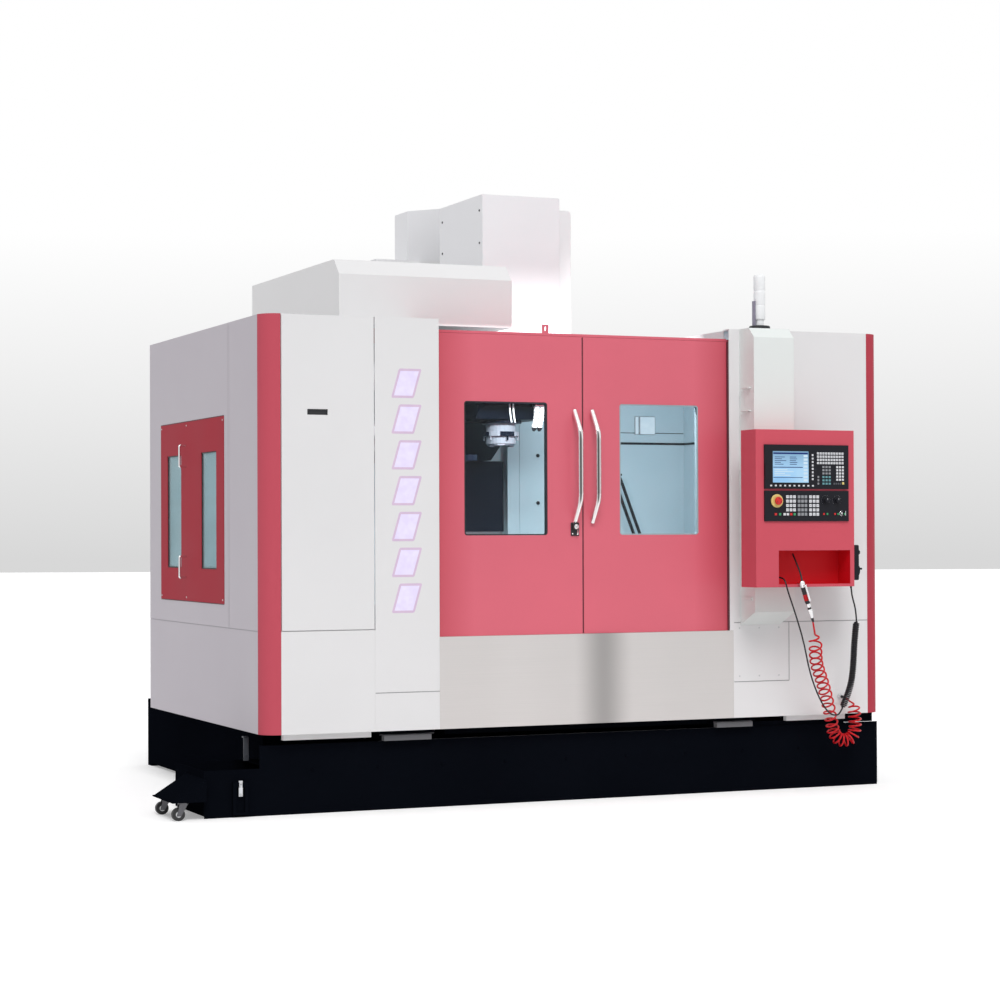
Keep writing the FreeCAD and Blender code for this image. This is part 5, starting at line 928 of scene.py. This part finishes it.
def buildKnobs():
    z, flutes, count = selectorKnobs["z"], selectorKnobs["flutes"], selectorKnobs["ticks"]
    front, back = selectorKnobs["pointer"]
    ticks = bmesh.new()
    for body, x in selectorKnobs["places"].items():
        bm = bmesh.new()
        profile = [(0, 0), (16, 0), (16, 3), (13.4, 5.5), (13.0, 18), (11.6, 19.6), (0, 20)]
        addTurned(bm, profile, (x, selectorKnobs["foot"], z), outFront, 36)
        for flute in range(flutes):
            addMark(bm, selectorKnobs["fluteSize"], selectorKnobs["fluteReach"], math.tau * flute / flutes,
                    "Y", (x, selectorKnobs["fluteMiddle"], z))
        knob = closeUp(bm, body + "_grip", "darkPlastic", body, True)
        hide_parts(body)
        bm = bmesh.new()
        addBlock(bm, (x - 0.9, front, z + 2), (x + 0.9, back, z + 11.5))
        closeUp(bm, body + "_pointer", "keyWhite", body)
        for index in range(count):
            angle = math.radians(selectorKnobs["firstTick"] + index * selectorKnobs["sweep"] / (count - 1))
            addMark(ticks, selectorKnobs["tickSize"], selectorKnobs["tickReach"], angle, "Y",
                    (x, panelFace - 0.1, z))
    closeUp(ticks, "knob_dial_marks", "keyWhite", "machine")


def buildKeySwitchRing():
    bm = bmesh.new()
    profile = [(8.2, -0.2), (13, -0.2), (13, 2.2), (11.5, 3.4), (8.2, 3.4), (8.2, -0.2)]
    addTurned(bm, profile, (keySwitch["x"], panelFace, keySwitch["z"]), outFront, 32)
    closeUp(bm, "key_switch_ring", "chrome", "machine", True)


buildStopButton()
buildKnobs()
buildKeySwitchRing()
print("display and operator panel")

# Hand pendant's keys and dial

handPendant = {"face": 3063, "middle": -225, "wheel": 1125, "firstRow": 1186, "rowPitch": 18,
               "columnPitch": 20, "ticks": 20, "tickSize": (0.4, 0.9, 3), "tickReach": 36.5}


def buildPendantFace():
    face, y, wheel = handPendant["face"], handPendant["middle"], handPendant["wheel"]
    bm = bmesh.new()
    for row in range(3):
        for column in range(3):
            middle = y + (column - 1) * handPendant["columnPitch"]
            z = handPendant["firstRow"] + row * handPendant["rowPitch"]
            addBlock(bm, (face - 0.3, middle - 7, z - 6), (face + 2.2, middle + 7, z + 6), 1.0)
    closeUp(bm, "pendant_keys", "keyGrey", "machine")
    bm = bmesh.new()
    addTurned(bm, [(34, -0.2), (39, -0.2), (39, 0.8), (34, 0.8), (34, -0.2)], (face, y, wheel), outRight, 40)
    for index in range(handPendant["ticks"]):
        addMark(bm, handPendant["tickSize"], handPendant["tickReach"],
                math.tau * index / handPendant["ticks"], "X", (face + 0.9, y, wheel))
    closeUp(bm, "pendant_dial", "keyWhite", "machine")


buildPendantFace()

# Blow gun: profiles of radius and distance below its knuckle

blowGun = {"top": (2692, -330, 1067), "lean": (0.309, 0, -0.951), "nozzle": 4.2, "ribs": 7, "ribPitch": 11,
           "hookLow": 1060.3, "hookEnd": -300.5}


def buildBlowGun():
    top, lean = blowGun["top"], blowGun["lean"]
    knuckle = [(0, -10), (9, -10), (13.5, -5), (14.5, 4), (13, 16), (11.5, 24), (0, 24)]
    neck = [(0, 108), (10, 108), (11.5, 112), (11.5, 126), (9, 129), (0, 129)]
    coupling = [(0, 138), (11.5, 138), (12.2, 140), (12.2, 152), (10.5, 155), (10.5, 166), (7.5, 170),
                (7.5, 184), (0, 184)]
    bm = bmesh.new()
    for profile in (knuckle, neck, coupling):
        addTurned(bm, profile, top, lean, 28)
    body = closeUp(bm, "blow_gun_metal", "chrome", "machine", True)
    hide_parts("air_gun")
    grip = [(0, 22), (11.5, 22)]
    for rib in range(blowGun["ribs"]):
        start = 26 + rib * blowGun["ribPitch"]
        grip += [(13.2, start), (13.2, start + 6), (12.2, start + 8)]
    bm = bmesh.new()
    addTurned(bm, grip + [(11, 109), (0, 109)], top, lean, 28)
    addTurned(bm, [(0, 128), (8.5, 128), (9.5, 131), (9.5, 136), (8.5, 139), (0, 139)], top, lean, 28)
    closeUp(bm, "blow_gun_grip", "rubberBlack", "machine", True)
    bm = bmesh.new()
    addTurned(bm, [(0, 60), (13.6, 60), (13.6, 92), (0, 92)], top, lean, 28)
    closeUp(bm, "blow_gun_sleeve", "hoseRed", "machine", True)
    x, y, z = top
    path = [(x + 4, y, z - 14), (x, y, z + 10), (x + 3, y + 14, z + 40), (x + 13, y + 70, z + 92),
            (x + 24, y + 130, z + 143)]
    tubePiece("blow_gun_nozzle", [path], blowGun["nozzle"], "rubberBlack", "machine")
    low, end = blowGun["hookLow"], blowGun["hookEnd"]
    bm = bmesh.new()
    addBlock(bm, (x - 6, y + 6, low), (x + 6, end, low + 3.3), 0.8)
    addBlock(bm, (x - 6, end - 5.5, low), (x + 6, end + 12.5, low + 3.7), 0.8)
    closeUp(bm, "blow_gun_hook", "zinc", "machine")


buildBlowGun()

# Tapered bend guards where the cords leave their housings, and the air socket

cordEnds = {"gunEnd": 182, "socket": (3105, -24, 470), "pendantExit": (3040, -225, 1068),
            "boxEntry": (2600, -184, 1096), "guardRibs": 6}


def buildCordEnds():
    lean = Vector(blowGun["lean"])
    gunEnd = Vector(blowGun["top"]) + lean * cordEnds["gunEnd"]
    x, socketFront, z = cordEnds["socket"]
    bm = bmesh.new()
    addTurned(bm, [(0, 0), (7.4, 0), (7.4, 4), (5.6, 22), (4.9, 24), (0, 24)], gunEnd, lean, 20)
    addTurned(bm, [(0, 0), (7.6, 0), (7.2, 6), (5.2, 26), (4.9, 28), (0, 28)], (x, socketFront, z),
              outFront, 20)
    closeUp(bm, "hose_bend_guards", "rubberBlack", "machine", True)
    ribs = [(8.2 - row * 0.6, 4 + row * 5) for row in range(cordEnds["guardRibs"])]
    bm = bmesh.new()
    addTurned(bm, [(0, 0), (8.5, 0), (8.5, 3)] + ribs + [(4.6, 34), (0, 34)], cordEnds["pendantExit"],
              downward, 20)
    addTurned(bm, [(0, 0), (9, 0), (9, 5), (6.4, 8), (4.6, 26), (0, 26)], cordEnds["boxEntry"], outFront, 20)
    closeUp(bm, "cable_bend_guards", "rubberBlack", "machine", True)
    bm = bmesh.new()
    addTurned(bm, [(0, 0), (17, 0), (17, 4), (0, 4)], (x, -0.5, z), outFront, 6)
    addTurned(bm, [(0, 0), (12, 0), (12, 16), (9, 20), (0, 20)], (x, -4, z), outFront, 24)
    closeUp(bm, "air_socket_nut", "zinc", "machine", True)


buildCordEnds()
print("pendant, blow gun and cord ends")

# Signal tower: profiles of radius and height over its foot

signalTower = {"x": 2700, "y": 98, "foot": 2351, "radius": 30, "tiers": 3, "firstTier": 66, "tierPitch": 75,
               "tierHeight": 66, "plate": (-36, -30.5), "plateHalf": 14, "plateTop": 158}


def buildSignalTower():
    x, y, foot, radius = (signalTower[key] for key in ("x", "y", "foot", "radius"))
    profile = [(0, 12), (22, 12), (22, 58), (29, 64)]
    for tier in range(signalTower["tiers"]):
        low = signalTower["firstTier"] + tier * signalTower["tierPitch"]
        top = low + signalTower["tierHeight"]
        profile += [(radius, low), (radius, top), (radius - 1.6, top + 2), (radius - 1.6, top + 6)]
    profile += [(27, 290), (22, 294), (0, 295)]
    bm = bmesh.new()
    addTurned(bm, profile, (x, y, foot), upward, 40)
    tower = closeUp(bm, "signal_tower_lenses", "frostedWhite", "machine", True)
    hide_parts("signal_tower")
    bm = bmesh.new()
    profile = [(0, -0.2), (50, -0.2), (54, 4), (54, 26), (50, 30), (24, 33), (0, 33)]
    addTurned(bm, profile, (x, y, foot), upward, 40)
    closeUp(bm, "signal_tower_foot", "rubberBlack", "machine", True)
    left, right = signalTower["plate"]
    half = signalTower["plateHalf"]
    bm = bmesh.new()
    addBlock(bm, (x + left, y - half, foot + 6), (x + right, y + half, foot + signalTower["plateTop"]), 1.2)
    addBlock(bm, (x + left, y - half, foot + 5), (x - 12, y + half, foot + 11), 1.2)
    closeUp(bm, "signal_tower_bracket", "bracketViolet", "machine")


buildSignalTower()

# Inside the working space: lamps, wall trim, wash pipes and coolant nozzles

workspace = {"back": 1800, "lamps": ((2863, 2957, 1896, 1996), (2832, 2850, 1896, 1996)),
             "ceilingLamp": ((1010, 116, 2226), (2330, 132, 2240)),
             "ceilingHousing": ((1000, 111, 2236), (2340, 136, 2246)), "joint": (2600, 3149),
             "jointZ": (1834, 1847),
             "bolts": ((2209, 1764), (2209, 1493)), "smallBoltX": (300, 760, 2350, 2560, 3110),
             "smallBoltZ": (1100, 2290)}
washPipes = {"top": (2679, 1700, 1655), "low": (2816, 1700, 1300), "shifts": (-40, 0), "radius": 9,
             "clamps": (0.0, 1.0)}
columnSides = {"strips": ((2022, 2104), (1236, 1322)), "depth": (1803.4, 1805.4), "heights": (900, 2280)}


def buildLiningTrim():
    back = workspace["back"]
    left, right = workspace["joint"]
    low, high = workspace["jointZ"]
    bm = bmesh.new()
    addBlock(bm, (left, back - 3, low), (right, back + 0.5, high), 0.8)
    addBlock(bm, (left, back - 1.2, 1900), (right, back + 0.5, 1904))
    addBlock(bm, (right - 2, 1500, low), (right + 1.5, back, high), 0.8)
    closeUp(bm, "lining_joint_trim", "rubberBlack", "machine")


def buildWorkLamps():
    back = workspace["back"]
    bm = bmesh.new()
    for left, right, low, high in workspace["lamps"]:
        addBlock(bm, (left, back - 9, low), (right, back - 5, high), 1.0)
    addBlock(bm, *workspace["ceilingLamp"], 2.0)
    closeUp(bm, "work_lamps", "lampWhite", "machine")
    bm = bmesh.new()
    for left, right, low, high in workspace["lamps"]:
        addBlock(bm, (left - 4, back - 5.5, low - 4), (right + 4, back + 0.5, high + 4), 1.5)
    addBlock(bm, *workspace["ceilingHousing"], 2.0)
    closeUp(bm, "work_lamp_housings", "zinc", "machine")


def buildLiningBolts():
    back = workspace["back"]
    bm = bmesh.new()
    for x, z in workspace["bolts"]:
        addTurned(bm, [(0, 0), (11, 0), (11, 6), (8, 9), (0, 9)], (x, back, z), outFront, 6)
    for x in workspace["smallBoltX"]:
        for z in workspace["smallBoltZ"]:
            addTurned(bm, [(0, 0), (7, 0), (6, 3), (0, 3.6)], (x, back, z), outFront, 12)
    closeUp(bm, "lining_bolts", "rubberBlack", "machine", True)


def buildWashPipes():
    topX, y, topZ = washPipes["top"]
    lowX, y, lowZ = washPipes["low"]
    paths = []
    for shift in washPipes["shifts"]:
        paths.append([(topX + shift - 40, y + 90, topZ + 60), (topX + shift - 20, y + 40, topZ + 40),
                      (topX + shift, y, topZ), (lowX + shift - 60, y, lowZ + 150), (lowX + shift, y, lowZ)])
    tubePiece("wash_pipes", paths, washPipes["radius"], "rubberBlack", "machine")


def buildColumnSides():
    front, back = columnSides["depth"]
    low, high = columnSides["heights"]
    bm = bmesh.new()
    for left, right in columnSides["strips"]:
        addBlock(bm, (left, front, low), (right, back, high), 0.6)
    closeUp(bm, "column_side_lining", "liningPaint", "machine")


def buildWashPipeClamps():
    topX, y, topZ = washPipes["top"]
    lowX, y, lowZ = washPipes["low"]
    bm = bmesh.new()
    for share in washPipes["clamps"]:
        x = topX + (lowX - topX) * share
        z = topZ + (lowZ - topZ) * share
        addBlock(bm, (x - 54, y - 12, z - 6), (x + 13, y + 13, z + 6), 2.5)
        addBlock(bm, (x - 30, y + 13, z - 5), (x - 12, workspace["back"] + 0.5, z + 5), 1.5)
    closeUp(bm, "wash_pipe_clamps", "rubberBlack", "machine")


buildLiningTrim()
buildWorkLamps()
buildLiningBolts()
buildWashPipes()
buildColumnSides()
buildWashPipeClamps()

coolantNozzles = {"manifold": ((1770, 850, 1988), (1836, 894, 2001)), "hoses": ((1786, 868), (1818, 872)),
                  "links": 7, "top": 1992, "tip": 1876, "radius": 15, "pipes": ((1636, 880), (1657, 882)),
                  "pipeTop": 2003, "pipeLow": 1904, "pipeRadius": 4.5}


def addNozzleHose(bm, x, y):  # ball-and-socket links that lean in towards the tool
    radius, links = coolantNozzles["radius"], coolantNozzles["links"]
    profile = [(0, 0), (radius * 0.8, 0), (radius, 4), (radius, 10), (radius * 0.72, 16), (0, 16)]
    for link in range(links):
        share = link / (links - 1)
        z = coolantNozzles["top"] - share * (coolantNozzles["top"] - coolantNozzles["tip"] - 14)
        lean = (-0.35 * share * share, -0.1 * share, -1)
        addTurned(bm, profile, (x - 13 * share * share, y - 3 * share, z), lean, 18)


def buildCoolantNozzles():
    radius = coolantNozzles["radius"]
    bm = bmesh.new()
    addBlock(bm, *coolantNozzles["manifold"], 3.0)
    closeUp(bm, "coolant_manifold", "zinc", "head")
    bm = bmesh.new()
    tips = bmesh.new()
    tip = [(0, 0), (radius * 0.9, 0), (radius * 0.9, 7), (6, 20), (4.5, 20), (4.5, 4), (0, 4)]
    for x, y in coolantNozzles["hoses"]:
        addNozzleHose(bm, x, y)
        addTurned(tips, tip, (x - 14, y - 3, coolantNozzles["tip"] + 2), (-0.35, -0.1, -1), 18)
    closeUp(bm, "coolant_hose_links", "frostedWhite", "head", True)
    closeUp(tips, "coolant_nozzle_tips", "rubberBlack", "head", True)
    paths = [[(x, y, coolantNozzles["pipeTop"]), (x, y, 1970), (x + 4, y - 1, 1935),
              (x + 9, y - 3, coolantNozzles["pipeLow"])] for x, y in coolantNozzles["pipes"]]
    tubePiece("coolant_pipes", paths, coolantNozzles["pipeRadius"], "frostedWhite", "head")


buildCoolantNozzles()
print("tower and workspace")

# Coolant tank: level gauge, toe strip, sill, wall strap and bolts; casters

coolantTank = {"front": 65, "boltHeight": 206, "boltX": range(260, 3300, 330), "gauge": (-107, -88, 98, 172),
               "gaugeNuts": (108, 162), "toe": (-268, 3371, 0.6, 12.4), "sill": (2616, 3174, 322, 351.6),
               "strapLeft": 3, "strapRight": 29, "strapFront": 328, "strapZ": (236, 346, 351.5)}
casterHubs = {"x": -396, "z": 30, "side": 11.9, "wheels": {"wheel_front": 50, "wheel_rear": 335}}


def buildTankDetails():
    front = coolantTank["front"]
    left, right, low, high = coolantTank["gauge"]
    bm = bmesh.new()
    addBlock(bm, (left, front - 22, low), (right, front - 17, high), 1.5)
    closeUp(bm, "level_gauge_glass", "keyWhite", "machine")
    bm = bmesh.new()
    for z in coolantTank["gaugeNuts"]:
        addTurned(bm, [(0, 0), (7, 0), (7, 4), (0, 5)], ((left + right) / 2, front - 22, z), outFront, 6)
    closeUp(bm, "gauge_nuts", "zinc", "machine", True)
    bm = bmesh.new()
    left, right, low, high = coolantTank["toe"]
    addBlock(bm, (left, front + 0.2, low), (right, front + 3, high), 0.5)
    left, right, low, high = coolantTank["sill"]
    addBlock(bm, (left, front + 5, low), (right, front + 8, high), 0.5)
    closeUp(bm, "tank_toe_and_sill", "basePaint", "machine")
    left, right, y = coolantTank["strapLeft"], coolantTank["strapRight"], coolantTank["strapFront"]
    low, shelf, high = coolantTank["strapZ"]
    bm = bmesh.new()
    addBlock(bm, (left, y, low), (right, y + 5, high), 1.0)
    addBlock(bm, (left, y, shelf), (right, y + 30, high), 1.0)
    addTurned(bm, [(0, 0), (6, 0), (6, 3.5), (0, 4)], ((left + right) / 2, y, low + 26), outFront, 6)
    closeUp(bm, "wall_strap", "keyDark", "machine")
    bm = bmesh.new()
    for x in coolantTank["boltX"]:
        addTurned(bm, [(0, 0), (7, 0), (6, 4), (0, 5)], (x, front, coolantTank["boltHeight"]), outFront, 6)
    closeUp(bm, "tank_bolts", "basePaint", "machine", True)


def buildCasterHubs():
    profile = [(0, 0), (14, 0), (14, 0.6), (9, 1.4), (0, 1.4)]
    for body, y in casterHubs["wheels"].items():
        bm = bmesh.new()
        for side in (-1, 1):
            centre = (casterHubs["x"], y + side * casterHubs["side"], casterHubs["z"])
            addTurned(bm, profile, centre, (0, side, 0), 24)
        closeUp(bm, "caster_hub_" + body, "zinc", body, True)


buildTankDetails()
buildCasterHubs()

# Tool holders in every second pot of the carousel

toolHolders = {"count": 24, "circle": 400, "y": 1090, "z": 2130, "mouth": 955}


def buildToolHolders():
    profile = [(0, -2), (31, -2), (31, 4), (27, 7), (27, 11), (31, 14), (31, 20), (20, 22), (20, 46),
               (12, 50), (12, 92), (0, 94)]
    bm = bmesh.new()
    for index in range(0, toolHolders["count"], 2):
        angle = math.tau * index / toolHolders["count"]
        centre = (toolHolders["mouth"], toolHolders["y"] + toolHolders["circle"] * math.sin(angle),
                  toolHolders["z"] + toolHolders["circle"] * math.cos(angle))
        addTurned(bm, profile, centre, outRight, 16)
    closeUp(bm, "tool_holders", "noseSteel", "carousel", True)


buildToolHolders()

# Back of the machine: cabinet vents, door screws and cable glands

cabinetBack = {"face": 2505, "vents": {"upper": 1800, "lower": 520}, "ventX": (2640, 2900), "ventTall": 260,
               "louvres": 9, "louvrePitch": 26, "louvreSize": (236, 3, 24), "louvreTilt": -0.55,
               "screwX": (2430, 3130), "screwZ": (700, 1250, 1800), "glandX": (2500, 2560, 2620, 2680),
               "glandY": 2200, "glandZ": 380}


def buildCabinetVents():
    face, tall = cabinetBack["face"], cabinetBack["ventTall"]
    left, right = cabinetBack["ventX"]
    for name, low in cabinetBack["vents"].items():
        bm = bmesh.new()
        addRing(bm, (left, face, low), (right, face + 9, low + tall), 14, 10)
        for row in range(cabinetBack["louvres"]):
            z = low + (row + 1) * cabinetBack["louvrePitch"]
            addMark(bm, cabinetBack["louvreSize"], 0, cabinetBack["louvreTilt"], "X",
                    ((left + right) / 2, face + 5, z))
        addBlock(bm, (left + 12, face - 0.2, low + 12), (right - 12, face + 1.4, low + tall - 12))
        closeUp(bm, "cabinet_vent_" + name, "darkPlastic", "cabinet_door")


def buildCabinetFittings():
    y, z = cabinetBack["glandY"], cabinetBack["glandZ"]
    bm = bmesh.new()
    for x in cabinetBack["glandX"]:
        addTurned(bm, [(0, 0), (17, 0), (17, 8), (0, 8)], (x, y, z), downward, 6)
        addTurned(bm, [(0, 8), (13, 8), (13, 22), (9, 26), (0, 26)], (x, y, z), downward, 20)
    closeUp(bm, "cable_glands", "rubberBlack", "machine", True)
    bm = bmesh.new()
    for z in cabinetBack["screwZ"]:
        for x in cabinetBack["screwX"]:
            addScrew(bm, (x, cabinetBack["face"], z), outBack, 1.1)
    closeUp(bm, "cabinet_door_screws", "zinc", "cabinet_door", True)


buildCabinetVents()
buildCabinetFittings()
print("tank, casters, tool holders and cabinet")


# Floor, light and camera; angles in degrees, floor sizes in metres

studio = {
    "eye": (-3332.0, -10558.0, 1312.0), "yaw": 23.233, "pitch": 0.594, "roll": -0.208, "lens": 85.19,
    "shift": 0.0102, "floorHalfWidth": 60.0, "floorHalfLength": 55.0, "floorAhead": 31.0, "floorGlow": 0.30,
    "sky": 0.62,
}
softSun = {"energy": 1.64, "from": (-0.20, -0.62, 0.78), "spread": 25}
insideLamp = {"energy": 38.0, "size": (1.5, 0.12), "place": (1700, 160, 2215), "from": (0, -0.62, 0.78)}


def seenDirectly(tree):  # rays from the camera, from mirrors and through the panes
    rays = addNode(tree, "LightPath").outputs
    seen = compute(tree, "MAXIMUM", rays["Is Camera Ray"], rays["Is Glossy Ray"])
    return compute(tree, "MAXIMUM", seen, rays["Is Transmission Ray"])


def buildFloor():
    bm = bmesh.new()
    bmesh.ops.create_grid(bm, x_segments=24, y_segments=24, size=1.0)
    bmesh.ops.scale(bm, verts=bm.verts, vec=(studio["floorHalfWidth"], studio["floorHalfLength"], 1.0))
    eye = at(*studio["eye"])
    turn = Matrix.Rotation(-math.radians(studio["yaw"]), 4, "Z")
    middle = turn @ Vector((0, studio["floorAhead"], 0)) + Vector((eye.x, eye.y, 0))
    bmesh.ops.transform(bm, verts=bm.verts, matrix=Matrix.Translation(middle) @ turn)
    mesh = bpy.data.meshes.new("studioFloor")
    bm.to_mesh(mesh)
    bm.free()
    floor = bpy.data.objects.new("studio_floor", mesh)
    bpy.context.scene.collection.objects.link(floor)
    finish, tree, coords, out = startFinish("paleFloor")
    speck = remap(tree, noise(tree, coords, 6.0, 4.0), 0.0, 1.0)
    lit = addNode(tree, "BsdfDiffuse", {
        "Color": mixColour(tree, speck, (0.80, 0.80, 0.80, 1), (0.82, 0.82, 0.82, 1))})
    glow = addNode(tree, "Emission", {"Color": (1, 1, 1, 1), "Strength": studio["floorGlow"]})
    extra = addNode(tree, "MixShader", {0: seenDirectly(tree)})
    tree.links.new(glow.outputs[0], extra.inputs[2])
    both = addNode(tree, "AddShader")
    tree.links.new(lit.outputs[0], both.inputs[0])
    tree.links.new(extra.outputs[0], both.inputs[1])
    tree.links.new(both.outputs[0], out.inputs["Surface"])
    mesh.materials.append(finish)


def buildWorld():
    world = bpy.data.worlds.new("studio")
    bpy.context.scene.world = world
    world.use_nodes = True
    tree = world.node_tree
    tree.nodes.clear()
    out = addNode(tree, "OutputWorld")
    direction = addNode(tree, "TexCoord").outputs["Generated"]
    height = axisOf(tree, direction, "Z")
    rising = remap(tree, height, 0.0, 1.0, -0.01, 0.125)
    shown = addNode(tree, "Background", {
        "Color": mixColour(tree, rising, (0.685, 0.685, 0.685, 1), (1, 1, 1, 1)), "Strength": 1.0})
    overhead = remap(tree, height, 0.0, 1.0, -0.1, 0.9)
    overhead = mixColour(tree, overhead, (0.86, 0.87, 0.90, 1), (1.0, 1.0, 1.0, 1))
    leftwards = remap(tree, axisOf(tree, direction, "X"), 1.0, 0.0, -0.95, -0.35)
    overhead = mixColour(tree, leftwards, overhead, (0.84, 0.84, 0.86, 1))
    lighting = addNode(tree, "Background", {"Color": overhead, "Strength": studio["sky"]})
    both = addNode(tree, "MixShader", {0: seenDirectly(tree)})
    tree.links.new(lighting.outputs[0], both.inputs[1])
    tree.links.new(shown.outputs[0], both.inputs[2])
    tree.links.new(both.outputs[0], out.inputs["Surface"])


def buildLamps():
    inside = bpy.data.lights.new("insideLamp", "AREA")
    inside.shape = "RECTANGLE"
    inside.size, inside.size_y = insideLamp["size"]
    inside.energy = insideLamp["energy"]
    insideHolder = bpy.data.objects.new("insideLamp", inside)
    insideHolder.visible_glossy = False
    insideHolder.location = at(*insideLamp["place"])
    insideHolder.rotation_euler = Vector(insideLamp["from"]).to_track_quat("Z", "Y").to_euler()
    bpy.context.scene.collection.objects.link(insideHolder)
    sun = bpy.data.lights.new("softSun", "SUN")
    sun.energy = softSun["energy"]
    sun.angle = math.radians(softSun["spread"])
    sunHolder = bpy.data.objects.new("softSun", sun)
    sunHolder.rotation_euler = Vector(softSun["from"]).to_track_quat("Z", "Y").to_euler()
    bpy.context.scene.collection.objects.link(sunHolder)


def buildCamera():
    lens = bpy.data.cameras.new("photoView")
    lens.sensor_width = 36.0
    lens.lens = studio["lens"]
    lens.shift_y = studio["shift"]
    lens.clip_end = 500.0
    camera = bpy.data.objects.new("photoView", lens)
    camera.location = at(*studio["eye"])
    aim = Matrix.Rotation(-math.radians(studio["yaw"]), 4, "Z")
    aim = aim @ Matrix.Rotation(math.radians(90 + studio["pitch"]), 4, "X")
    aim = aim @ Matrix.Rotation(math.radians(studio["roll"]), 4, "Z")
    camera.rotation_euler = aim.to_euler()
    bpy.context.scene.collection.objects.link(camera)
    bpy.context.scene.camera = camera


buildFloor()
buildWorld()
buildLamps()
buildCamera()
bpy.context.scene.view_settings.view_transform = "Standard"
print("studio ready")
